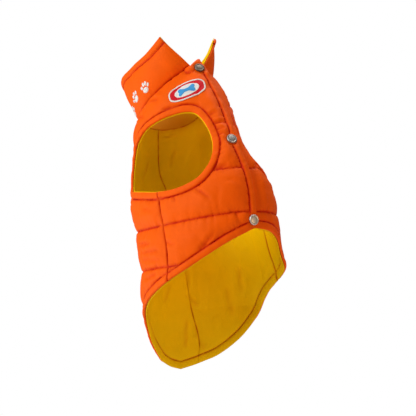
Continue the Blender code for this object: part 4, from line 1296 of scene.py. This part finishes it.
def cord_mesh(name, line, surface, width, tall, lift, material):
    """A closed flat-bottomed cord along a flat outline: an ellipse carried along it."""
    place, normal = surface(line)
    along = unit(np.roll(place, -1, axis=0) - np.roll(place, 1, axis=0))
    side = np.cross(normal, along)
    angle = circle(CORD_SIDES)
    points = (place[:, None] + side[:, None] * (np.cos(angle) * width / 2)[None, :, None]
              + normal[:, None] * (lift + np.sin(angle) * tall / 2)[None, :, None])
    corner, over = ring_corners(len(line), CORD_SIDES)
    after = np.roll(corner, -1, axis=0)
    both = np.roll(after, -1, axis=1)
    faces = np.stack([corner, after, both, over], -1).reshape(-1, 4).tolist()
    run = lengths(line)
    uv = np.stack(np.broadcast_arrays(run[:, None], angle[None]), -1).reshape(-1, 2)
    return make_mesh(name, points.reshape(-1, 3), faces, material, uv)


def set_down(center, x, y, turn):
    """Flat points turned by an angle and moved to a middle."""
    c, s = np.cos(turn), np.sin(turn)
    return np.stack([center[0] + c * x - s * y, center[1] + s * x + c * y], -1)


def oval(center, wide, high, turn, power=1.0, count=28):
    """Flat oval or rounded oblong, turned by an angle about its middle."""
    angle = circle(count)
    x = np.sign(np.cos(angle)) * np.abs(np.cos(angle)) ** power * wide
    y = np.sign(np.sin(angle)) * np.abs(np.sin(angle)) ** power * high
    return set_down(center, x, y, turn)


# Pads of a paw print, as shares of its size: x, y, half width, half height and lean.
PAW = (
    (0.0, -0.22, 0.42, 0.34, 0.0), (-0.52, 0.22, 0.16, 0.23, 0.45),
    (-0.19, 0.5, 0.17, 0.25, 0.15), (0.19, 0.5, 0.17, 0.25, -0.15),
    (0.52, 0.22, 0.16, 0.23, -0.45),
)


def paw(center, size, turn):
    """Outlines of a paw print: a broad pad and four toes, as (x, y, wide, high, turn)."""
    c, s = np.cos(turn), np.sin(turn)
    return [oval((center[0] + size * (c * x - s * y), center[1] + size * (s * x + c * y)),
                 wide * size, high * size, turn + lean)
            for x, y, wide, high, lean in PAW]


def bone(center, wide, high, count=72):
    """Outline of a bone by the furthest reach of its four knobs and its shaft at each
    angle from the middle."""
    angle = circle(count)
    ray = np.stack([np.cos(angle), np.sin(angle)], -1)
    knob = high * 0.54
    reach = np.minimum(wide / np.maximum(np.abs(ray[:, 0]), 1e-6),
                       high * 0.42 / np.maximum(np.abs(ray[:, 1]), 1e-6))
    reach = np.minimum(reach, wide * 0.9)
    for x in (-1, 1):
        for y in (-1, 1):
            at = np.array([x * (wide - knob), y * (high - knob)])
            across = ray @ at
            inner = across ** 2 - at @ at + knob ** 2
            hit = across + np.sqrt(np.maximum(inner, 0))
            reach = np.maximum(reach, np.where(inner > 0, hit, 0))
    return center + ray * reach[:, None]


# ---- Finishes ------------------------------------------------------------------------
CRINKLE = (110.0, 5.0, 0.55)    # noises: their scale, detail and roughness
DYE = (38.0, 6.0, 0.6)
TWIST = (900.0, 2.0, 0.5)
WEAR = (420.0, 5.0, 0.65)
GRAIN = (40.0, 3.0, 0.5)
THREAD_CONTRAST = 0.22          # how far the weave's threads change the cloth's tone
# painted shade: the dark colour that a snap's cap goes over to
PAINTED_SHADE_NICKEL = (0.11, 0.07, 0.045)


class Finish:
    """Builds a material's nodes by name and joins them."""

    def __init__(self, name):
        self.material = bpy.data.materials.new(name)
        self.material.use_nodes = True
        self.tree = self.material.node_tree
        self.shader = self.tree.nodes["Principled BSDF"]

    def node(self, kind, links=None, inputs=None, **options):
        """A node with its options set, then its inputs' values and its links."""
        made = self.tree.nodes.new(kind)
        for key, value in options.items():
            setattr(made, key, value)
        for key, value in (inputs or {}).items():
            made.inputs[key].default_value = value
        for key, source in (links or {}).items():
            self.tree.links.new(source, made.inputs[key])
        return made

    def join(self, source, socket):
        """Joins an output to the shader's input."""
        self.tree.links.new(source, self.shader.inputs[socket])

    def own_map(self):
        """The cloth's own flat map, in millimetres."""
        return self.node("ShaderNodeUVMap", uv_map="Cloth").outputs[0]

    def noise(self, scale, detail, roughness):
        """Noise on the object's own coordinates."""
        where = self.node("ShaderNodeTexCoord").outputs["Object"]
        values = {"Scale": scale, "Detail": detail, "Roughness": roughness}
        return self.node("ShaderNodeTexNoise", {"Vector": where}, values).outputs["Fac"]

    def threads(self, where, way, period, distortion=0.0):
        """Sine waves across a direction, with a period in millimetres."""
        values = {"Scale": 2 * np.pi / (20 * period * MM), "Distortion": distortion}
        return self.node("ShaderNodeTexWave", {"Vector": where}, values,
                         bands_direction=way).outputs["Fac"]

    def stretched(self, value, low, high, start=0.0, end=1.0):
        """A value that runs from start to end, made to run from low to high."""
        values = {"From Min": start, "From Max": end, "To Min": low, "To Max": high}
        return self.node("ShaderNodeMapRange", {"Value": value}, values).outputs[0]

    def tinted(self, base, tone):
        """A colour made lighter or darker by a tone."""
        return self.node("ShaderNodeVectorMath", {"Scale": tone}, {0: base[:3]},
                         operation="SCALE").outputs[0]

    def with_painted_shade(self, tint, painted_shade_colour):
        """Painted shade: a tint that goes over to a darker one by the piece's own painted-shade
        attribute.
        """
        down = self.node("ShaderNodeAttribute", attribute_name="Shade").outputs["Fac"]
        return self.node("ShaderNodeMix", {0: down, 6: tint}, {7: (*painted_shade_colour[:3], 1.0)},
                         data_type="RGBA").outputs[2]

    def bump(self, height, distance, strength=1.0, under=None):
        """A bump of so many millimetres, on top of the one under it."""
        links = {"Height": height} if under is None else {"Height": height, "Normal": under}
        return self.node("ShaderNodeBump", links,
                         {"Strength": strength, "Distance": distance * MM}).outputs[0]


def colour(name):
    """One of the coat's colours."""
    return tuple(getattr(bpy.context.scene.coat_colours, name))


def woven(made, base, painted_shade_colour, period, weave_depth, crinkle_depth, mottle):
    """Plain weave from two crossed sine waves on the cloth's own map, a fine crinkle, a
    slight change of depth in the dye, and painted shade down in the stitch lines and creases."""
    where = made.own_map()
    crossed = {}
    for number, way in enumerate("XY"):
        threads = made.threads(where, way, period)
        crossed[number] = made.node("ShaderNodeMath", {0: threads}, {1: 0.5},
                                    operation="SUBTRACT").outputs[0]
    weave = made.node("ShaderNodeMath", crossed, operation="MULTIPLY").outputs[0]
    crinkle = made.bump(made.noise(*CRINKLE), crinkle_depth)
    made.join(made.bump(weave, weave_depth, under=crinkle), "Normal")
    dye = made.stretched(made.noise(*DYE), 1.0 - mottle, 1.0 + mottle, 0.3, 0.7)
    tone = made.node("ShaderNodeMath", {0: weave, 2: dye}, {1: THREAD_CONTRAST},
                     operation="MULTIPLY_ADD").outputs[0]
    made.join(made.with_painted_shade(made.tinted(base, tone), colour(painted_shade_colour)), "Base Color")


def twisted(made, base):
    """Twisted thread: fine bands of light and dark along it."""
    bands = made.noise(*TWIST)
    made.join(made.tinted(base, made.stretched(bands, 0.75, 1.25)), "Base Color")
    made.join(made.bump(bands, 0.2, 0.6), "Normal")


def satin(made, base, angle, period=0.55, depth=0.12):
    """Satin stitch: close parallel threads across a pad, lit along their length."""
    turned = made.node("ShaderNodeMapping", {"Vector": made.own_map()},
                       {"Rotation": (0.0, 0.0, angle)}).outputs[0]
    threads = made.threads(turned, "X", period, 0.6)
    made.join(made.bump(threads, depth), "Normal")
    made.join(made.tinted(base, made.stretched(threads, 0.82, 1.05)), "Base Color")


def nickel(made, base):
    """Worn satin nickel: roughness and tone from one noise, and painted shade from the piece's own
    shade attribute.
    """
    wear_and_painted_shade = made.noise(*WEAR)
    made.join(made.stretched(wear_and_painted_shade, 0.38, 0.6), "Roughness")
    tint = made.tinted(base, made.stretched(wear_and_painted_shade, 0.78, 1.12))
    made.join(made.with_painted_shade(tint, PAINTED_SHADE_NICKEL), "Base Color")
    made.join(made.bump(wear_and_painted_shade, 0.08, 0.5), "Normal")


def plain(made, base):
    """An even surface with a faint grain."""
    grain = made.stretched(made.noise(*GRAIN), 0.985, 1.0)
    made.join(made.tinted(base, grain), "Base Color")


THREAD_GLOSS = {"Roughness": 0.6, "Specular IOR Level": 0.1}
SATIN_GLOSS = {"Roughness": 0.5, "Specular IOR Level": 0.15}
# Each finish: its recipe, its colour, what the recipe is given, and the shader's values.
FINISHES = {
    "orange_nylon": (woven, "shell", ("shell_deep", 0.75, 0.05, 0.5, 0.05),
                     {"Roughness": 0.6, "Sheen Weight": 0.02, "Sheen Roughness": 0.4,
                      "Sheen Tint": (1.0, 0.6, 0.35, 1.0), "Specular IOR Level": 0.07}),
    "yellow_taffeta": (woven, "lining", ("lining_deep", 0.6, 0.035, 0.4, 0.04),
                       {"Roughness": 0.6, "Specular IOR Level": 0.05}),
    "orange_thread": (twisted, "thread", (), THREAD_GLOSS),
    "lining_thread": (twisted, "lining_thread", (), THREAD_GLOSS),
    "white_embroidery": (satin, "white_thread", (0.6,), SATIN_GLOSS),
    "white_merrow": (satin, "white_thread", (0.35, 0.9, 0.25), SATIN_GLOSS),
    "red_twill": (satin, "badge", (0.8, 0.7, 0.08), SATIN_GLOSS),
    "blue_embroidery": (satin, "motif", (1.2,), SATIN_GLOSS),
    "worn_nickel": (nickel, "metal", (), {"Metallic": 1.0}),
    "pale_floor": (plain, "floor", (), {"Roughness": 0.85}),
}


def finish(name):
    """The material of a finish, made once and given again."""
    found = bpy.data.materials.get(name)
    if found is None:
        recipe, tone, given, gloss = FINISHES[name]
        made = Finish(name)
        recipe(made, colour(tone), *given)
        for socket, value in gloss.items():
            made.shader.inputs[socket].default_value = value
        found = made.material
    return found


# ---- Trimmings -----------------------------------------------------------------------
STITCH_LIFT = 0.12          # how far stitches lie off the shell
LINING_STITCH_LIFT = 0.1    # and off the lining
COLLAR_STITCH_START = 3.0
# Thread and slot of each cloth's stitches.
THREAD_OF = {"orange": ("orange_thread", "orange_cloth"),
             "yellow": ("lining_thread", "yellow_lining")}
# An embroidered pad: its height at the rim and inside, the width of its rounded edge
# and its rings of points.
Pad = namedtuple("Pad", "low high edge rings")
PAW_PAD = Pad(0.05, 0.75, 1.2, 7)
FIELD_PAD = Pad(0.3, 0.9, 0.8, 26)
GROUND_PAD = Pad(0.85, 1.15, 0.6, 22)
BONE_PAD = Pad(1.1, 1.5, 0.8, 10)
# Painted shade on the snaps' caps: each is darkened by so much for the light it catches at its
# angle
SNAP_PAINTED_SHADE = (0.9, 0.45, 0.0)    # how far each cap has darkened, from the throat down
# Profile of a snap's cap, as shares of its radius and height from the middle of its top.
SNAP_CAP = (
    (0.0, 0.93), (0.15, 0.925), (0.3, 0.91), (0.45, 0.885), (0.56, 0.85), (0.62, 0.80),
    (0.66, 0.76), (0.70, 0.78), (0.75, 0.86), (0.81, 0.91), (0.87, 0.88), (0.93, 0.76),
    (0.97, 0.58), (0.995, 0.40), (1.0, 0.25), (0.985, 0.1), (0.95, 0.0), (0.0, 0.0),
)
# Profile of its flat back: shares of its radius, heights in millimetres.
SNAP_BACK = (
    (0.0, 0.75), (0.3, 0.75), (0.42, 0.78), (0.5, 0.9), (0.62, 1.1), (0.78, 1.15),
    (0.9, 1.02), (0.98, 0.75), (1.0, 0.45), (0.97, 0.1), (0.9, 0.0), (0.0, 0.0),
)
BADGE_HALF = (22.5, 10.0)
BADGE_POWER = 0.7      # how far the patch's round ends are squared
BONE_HALF = (10.5, 4.6)
RIM_INSET = 0.6        # the white edge's middle line, inside the field's edge
RIM_SIZE = (2.0, 1.1, 0.75)    # its width, height and lift
GROUND_SHARE = (0.68, 0.66)    # the white oval's share of the field
PAWS_A_SIDE = 4        # paw prints on each side of the collar's middle one
PAW_STRIDE = 22.0
PAW_STEPS = ((13.0, -0.25), (17.5, 0.35))    # height and lean of every other print


# ---- What a user may change ----------------------------------------------------------
def length_property(name, description, default):
    """A length that the panel shows, in metres."""
    return bpy.props.FloatProperty(name=name, description=description, default=default,
                                   min=0.0, precision=4, unit="LENGTH")


def colour_property(name, description, default):
    """A colour that the panel shows."""
    return bpy.props.FloatVectorProperty(name=name, description=description, default=default,
                                         size=3, min=0.0, max=1.0, subtype="COLOR")


class CoatSizes(bpy.types.PropertyGroup):
    """Sizes of the coat's padding, bands and trimmings."""
    puff: length_property("Puff", "Rise of a quilted puff over its stitch lines", 0.0036)
    collar_puff: length_property("Collar puff", "Rise of the collar's padding", 0.0022)
    pucker: length_property("Pucker", "Depth of the gathers beside the stitches", 0.0016)
    band: length_property("Band", "Width of a turned and topstitched edge", 0.0088)
    band_rise: length_property("Band rise", "Rise of a band over its stitch line", 0.0015)
    stitch_pitch: length_property("Stitch", "Length of one stitch with its gap", 0.0031)
    snap_radius: length_property("Snap radius", "Radius of a snap's cap", 0.00625)
    snap_height: length_property("Snap height", "Height of a snap's cap", 0.0026)
    snap_back_radius: length_property("Snap back radius", "Radius of its back", 0.0045)
    paw_size: length_property("Paw size", "Half the width of an embroidered paw", 0.0105)
    floor_drop: length_property("Floor", "Depth of the floor below the tail", 0.80)


class CoatColours(bpy.types.PropertyGroup):
    """Colours of the coat's cloths, threads and metal."""
    shell: colour_property("Shell", "Orange outer cloth", (0.82, 0.100, 0.0005))
    # Painted shade: the dark orange that the shell goes over to down in its stitch lines, seams
    # and creases
    shell_deep: colour_property("Shell, deep", "Orange down in the stitch lines",
                                (0.50, 0.004, 0.0))
    # Painted shade: the dark yellow that the lining goes over to down in its stitch lines, seams
    # and creases
    lining_deep: colour_property("Lining, deep", "Yellow down in the stitch lines",
                                 (0.50, 0.055, 0.0005))
    lining: colour_property("Lining", "Yellow lining cloth", (0.83, 0.515, 0.0002))
    # Painted shade: the shell's thread is the cloth's own orange, made darker for the shadow in
    # its stitch valleys
    thread: colour_property("Thread", "Stitches of the shell", (0.50, 0.010, 0.0005))
    lining_thread: colour_property("Lining thread", "Stitches inside", (0.36, 0.07, 0.001))
    badge: colour_property("Patch", "Field of the patch", (0.62, 0.004, 0.015))
    motif: colour_property("Motif", "Motif of the patch", (0.05, 0.33, 0.72))
    white_thread: colour_property("White thread", "Embroidery and edges", (0.82, 0.82, 0.80))
    metal: colour_property("Snaps", "Metal of the snaps", (0.62, 0.59, 0.56))
    floor: colour_property("Floor", "Pale studio floor", (0.82, 0.82, 0.82))


# ---- Operators -----------------------------------------------------------------------
class COAT_OT_back(bpy.types.Operator):
    """Sews the quilted back panel and the two halves of its lining"""
    bl_idname = "coat.back"
    bl_label = "Back panel"

    def execute(self, context):
        panel = back_panel()
        sew_shell(panel, "back_cloth", "back_shell")
        for side, left in (("left", True), ("right", False)):
            sew_lining(panel, f"back_lining_{side}_cloth", f"back_lining_{side}",
                       lambda turn, level: (turn < 1.0 - table(LINING_SEAM, level)) == left)
        return {"FINISHED"}


class COAT_OT_right_front(bpy.types.Operator):
    """Sews the right front, which laps over the left one, and its lining"""
    bl_idname = "coat.right_front"
    bl_label = "Right front"

    def execute(self, context):
        panel = right_front()
        sew_shell(panel, "front_right_cloth", "front_right_shell")
        sew_lining(panel, "front_right_lining_cloth", "front_right_lining",
                   lambda turn, level: turn < lining_edge(level))
        return {"FINISHED"}


class COAT_OT_left_front(bpy.types.Operator):
    """Sews the left front, whose edge lies under the right one, and its lining"""
    bl_idname = "coat.left_front"
    bl_label = "Left front"

    def execute(self, context):
        panel = left_front()
        sew_shell(panel, "front_left_cloth", "front_left_shell")
        sew_lining(panel, "front_left_lining_cloth", "front_left_lining",
                   lambda turn, level: np.full(len(turn), True))
        return {"FINISHED"}


class COAT_OT_collar(bpy.types.Operator):
    """Sews the stand collar and its lining"""
    bl_idname = "coat.collar"
    bl_label = "Collar"

    def execute(self, context):
        collar = the_collar()
        faces = grid_faces(*collar.points.shape[:2])
        uv = np.stack([collar.along, collar.from_foot], -1).reshape(-1, 2)
        shell = wall("collar_cloth", collar.face(collar.height()).reshape(-1, 3),
                     collar.face(shell_inside(collar.from_edge)).reshape(-1, 3), faces,
                     finish("orange_nylon"), uv, collar.shade())
        finished(shell, "orange_cloth", "collar_shell")
        roll = rolled(collar.from_edge)
        top = -WALL - GAP - roll
        under = np.minimum(top + 2 * roll - LINING - collar.lining_depth(),
                           top - LINING_THINNEST)
        lining = wall("collar_lining_cloth", collar.face(top).reshape(-1, 3),
                      collar.face(under).reshape(-1, 3), faces, finish("yellow_taffeta"), uv,
                      collar.lining_shade())
        finished(lining, "yellow_lining", "collar_lining")
        return {"FINISHED"}


def lined_edges(name, panel):
    """The stretches of a panel's edges that its lining reaches."""
    if name != "front_right":
        return panel.edges
    found = []
    for line in panel.edges:
        turn, level = panel.places(line)
        kept = line[turn < lining_edge(level) - 0.01]
        if len(kept) > 3:
            found.append(kept)
    return found


class COAT_OT_stitches(bpy.types.Operator):
    """Stitches the quilting, the bands and the collar, outside and inside"""
    bl_idname = "coat.stitches"
    bl_label = "Stitches"

    def execute(self, context):
        pitch, band = mm("stitch_pitch"), mm("band")
        for name, panel in (("back", back_panel()), ("front_right", right_front()),
                            ("front_left", left_front())):
            def outside(flat, panel=panel):
                return panel.outer_face(flat, STITCH_LIFT)[0]

            def within(flat, panel=panel):
                return panel.inner_face(flat, LINING_STITCH_LIFT)

            rows = [stitch_places(panel, panel.edges, band, pitch, outside),
                    stitch_places(panel, quilting_lines(panel), 0.0, pitch, outside)]
            self.sew(name + "_stitches", *np.concatenate(rows, axis=1), "orange")
            row = stitch_places(panel, lined_edges(name, panel), band, pitch, within)
            self.sew(name + "_lining_stitches", row[0], row[1], -row[2], "yellow")
        collar = the_collar()
        run = collar.along[-1]
        ends = np.interp((COLLAR_STITCH_START, run[-1] - COLLAR_STITCH_START), run,
                         collar.turns)
        turns = np.linspace(ends[0], ends[1], int(run[-1] / pitch))
        share = np.interp(turns, collar.turns, 1 - band / collar.tall)
        normal = collar.read(collar.normals, turns, share)
        lining = -WALL - GAP - LINING - LINING_STITCH_LIFT - collar.lining_depth()
        for name, height, way, cloth in (
                ("collar_stitches", collar.height() + STITCH_LIFT, 1, "orange"),
                ("collar_lining_stitches", lining, -1, "yellow")):
            middle = collar.read(collar.face(height), turns, share)
            self.sew(name, middle, np.gradient(middle, axis=0), way * normal, cloth)
        return {"FINISHED"}

    @staticmethod
    def sew(name, middles, tangents, normals, cloth):
        """One row of stitches in the thread of its cloth."""
        thread, slot = THREAD_OF[cloth]
        finished(stitch_mesh(name, middles, tangents, normals, finish(thread)), slot)


class COAT_OT_embroidery(bpy.types.Operator):
    """Embroiders a row of white paw prints round the back of the collar"""
    bl_idname = "coat.embroidery"
    bl_label = "Paw prints"

    def execute(self, context):
        collar = the_collar()
        grid = collar.face(collar.height())
        middle_run = collar.along[0, -1] / 2

        def surface(flat):
            turn = np.interp(flat[:, 0] + middle_run, collar.along[0], collar.turns)
            share = flat[:, 1] / np.interp(turn, collar.turns, collar.tall)
            return collar.read(grid, turn, share), collar.read(collar.normals, turn, share)

        outlines = []
        for number in range(-PAWS_A_SIDE, PAWS_A_SIDE + 1):
            up, lean = PAW_STEPS[number % 2]
            outlines += paw((number * PAW_STRIDE, up), mm("paw_size"), lean)
        finished(pad_mesh("collar_paw_prints", outlines, surface, PAW_PAD,
                          finish("white_embroidery")), "orange_cloth")
        return {"FINISHED"}


class COAT_OT_badge(bpy.types.Operator):
    """Sews the patch on: a red field in a white edge, with a bone on a white oval"""
    bl_idname = "coat.badge"
    bl_label = "Patch"

    def execute(self, context):
        panel = right_front()
        middle = panel.flat([BADGE])[0]

        def surface(flat):
            turn, level = panel.places(flat)
            return offset(turn, level, panel.shell_relief(flat)[0]), TUBE.normal(turn, level)

        across, up = BADGE_HALF
        field = oval(middle, across, up, 0.0, BADGE_POWER, 120)
        patch = pad_mesh("badge_cloth", [field], surface, FIELD_PAD, finish("red_twill"))
        rim = oval(middle, across - RIM_INSET, up - RIM_INSET, 0.0, BADGE_POWER, 160)
        edge = cord_mesh("badge_edge", rim, surface, *RIM_SIZE, finish("white_merrow"))
        ground = oval(middle, across * GROUND_SHARE[0], up * GROUND_SHARE[1], 0.0, 0.95, 96)
        white = pad_mesh("badge_ground", [ground], surface, GROUND_PAD,
                         finish("white_embroidery"))
        blue = pad_mesh("badge_bone", [bone(middle, *BONE_HALF)], surface, BONE_PAD,
                        finish("blue_embroidery"))
        finished(patch, "badge_cloth", "badge")
        for piece in (edge, white, blue):
            finished(piece, "badge_cloth")
        return {"FINISHED"}


class COAT_OT_snaps(bpy.types.Operator):
    """Turns the three snaps: a ringed, domed cap outside and a flat back inside"""
    bl_idname = "coat.snaps"
    bl_label = "Snaps"

    def execute(self, context):
        cap = np.array(SNAP_CAP) * (mm("snap_radius"), mm("snap_height"))
        back = np.array(SNAP_BACK) * (mm("snap_back_radius"), 1.0)
        inner_face = WALL + LAP_DEPTH + GAP + LINING
        for number, place in enumerate(SNAPS, 1):
            finished(turned_mesh(f"snap_{number}_cap", cap, place, SNAP_SEAT,
                                 SNAP_PAINTED_SHADE[number - 1]), "snap_metal", f"snap_cap_{number}")
            finished(turned_mesh(f"snap_{number}_back", back, place,
                                 -inner_face - SNAP_BACK_SEAT, outward=False),
                     "snap_metal", f"snap_back_{number}")
        return {"FINISHED"}


# ---- Stage ---------------------------------------------------------------------------
CAMERA_TURN = -35.0    # degrees round the coat from its front, towards its right side
CAMERA_RISE = 1.0
CAMERA_AWAY = 1.7      # metres
CAMERA_AIM = Vector((0.0, 0.0, -0.0096))
CAMERA_LENS = 122.6
SENSOR_WIDTH = 36.0
FLOOR_RADIUS = 3.0
FLOOR_SIDES = 96
GLOW = 0.15            # the studio's own light, which the camera sees as plain white
SoftLight = namedtuple("SoftLight", "name across rise away size watts tint")
# across: degrees round the coat from the camera, positive to its left
LIGHTS = named(SoftLight,
    ("key", 58.0, 28.0, 2.0, 1.2, 33.0, (1.0, 1.0, 1.0)),
    ("side", 98.0, -18.0, 2.0, 1.2, 17.0, (1.0, 1.0, 1.0)),
    ("fill", -38.0, -4.0, 2.0, 1.2, 14.0, (1.0, 0.62, 0.30)),
    ("top", -165.0, 68.0, 2.0, 1.6, 35.0, (1.0, 1.0, 1.0)),
)


def around(turn, height, away):
    """Point at a turn from the front, a height angle and a distance from the coat."""
    turn, height = np.radians(turn), np.radians(height)
    return Vector((np.sin(turn) * np.cos(height), -np.cos(turn) * np.cos(height),
                   np.sin(height))) * away


def aimed(item, place, target):
    """Sets a light or camera at a place and turns it to a target."""
    item.location = place
    item.rotation_euler = (target - place).to_track_quat("-Z", "Y").to_euler()
    bpy.context.scene.collection.objects.link(item)


class COAT_OT_stage(bpy.types.Operator):
    """Lays the pale floor and sets the soft lights and the camera"""
    bl_idname = "coat.stage"
    bl_label = "Stage"

    def execute(self, context):
        scene = context.scene
        drop = CAD_BOX[0][2] - scene.coat_sizes.floor_drop
        angle = circle(FLOOR_SIDES)
        ring = np.stack([np.cos(angle) * FLOOR_RADIUS, np.sin(angle) * FLOOR_RADIUS,
                         np.full(FLOOR_SIDES, drop)], -1)
        floor = make_mesh("floor", ring / MM, [list(range(FLOOR_SIDES))], finish("pale_floor"))
        data = bpy.data.cameras.new("camera")
        data.lens = CAMERA_LENS
        data.sensor_width = SENSOR_WIDTH
        camera = bpy.data.objects.new("camera", data)
        aimed(camera, around(CAMERA_TURN, CAMERA_RISE, CAMERA_AWAY), CAMERA_AIM)
        scene.camera = camera
        for light in LIGHTS:
            data = bpy.data.lights.new(light.name, "AREA")
            data.shape = "DISK"
            data.size = light.size
            data.energy = light.watts
            data.color = light.tint
            place = around(CAMERA_TURN - light.across, light.rise, light.away)
            aimed(bpy.data.objects.new(light.name, data), place, Vector((0, 0, 0)))
        world = bpy.data.worlds.new("studio")
        scene.world = world
        world.use_nodes = True
        tree = world.node_tree
        tree.nodes.clear()
        path = tree.nodes.new("ShaderNodeLightPath")
        mix = tree.nodes.new("ShaderNodeMixShader")
        out = tree.nodes.new("ShaderNodeOutputWorld")
        tree.links.new(path.outputs["Is Camera Ray"], mix.inputs[0])
        for number, strength in enumerate((GLOW, 1.0), 1):
            white = tree.nodes.new("ShaderNodeBackground")
            white.inputs["Color"].default_value = (1.0, 1.0, 1.0, 1.0)
            white.inputs["Strength"].default_value = strength
            tree.links.new(white.outputs[0], mix.inputs[number])
        tree.links.new(mix.outputs[0], out.inputs["Surface"])
        scene.view_settings.view_transform = "Standard"
        return {"FINISHED"}


OPERATORS = (COAT_OT_back, COAT_OT_right_front, COAT_OT_left_front, COAT_OT_collar,
             COAT_OT_stitches, COAT_OT_embroidery, COAT_OT_badge, COAT_OT_snaps, COAT_OT_stage)


class COAT_PT_panel(bpy.types.Panel):
    """Lists the coat's sizes, colours and pieces"""
    bl_idname = "COAT_PT_panel"
    bl_label = "Dog winter coat"
    bl_space_type = "VIEW_3D"
    bl_region_type = "UI"
    bl_category = "Coat"

    def draw(self, context):
        for group in (context.scene.coat_sizes, context.scene.coat_colours):
            box = self.layout.box()
            for name in group.__annotations__:
                box.prop(group, name)
        for operator in OPERATORS:
            self.layout.operator(operator.bl_idname)


CLASSES = (CoatSizes, CoatColours, *OPERATORS, COAT_PT_panel)


def register():
    """Adds the sizes, colours, operators and panel to Blender."""
    for item in CLASSES:
        bpy.utils.register_class(item)
    bpy.types.Scene.coat_sizes = bpy.props.PointerProperty(type=CoatSizes)
    bpy.types.Scene.coat_colours = bpy.props.PointerProperty(type=CoatColours)


def unregister():
    """Takes them out again, last first."""
    del bpy.types.Scene.coat_colours
    del bpy.types.Scene.coat_sizes
    for item in reversed(CLASSES):
        bpy.utils.unregister_class(item)


def main():
    """Makes every piece and the stage."""
    register()
    for operator in OPERATORS:
        _, name = operator.bl_idname.split(".")
        getattr(bpy.ops.coat, name)()


if __name__ == "__main__":
    main()
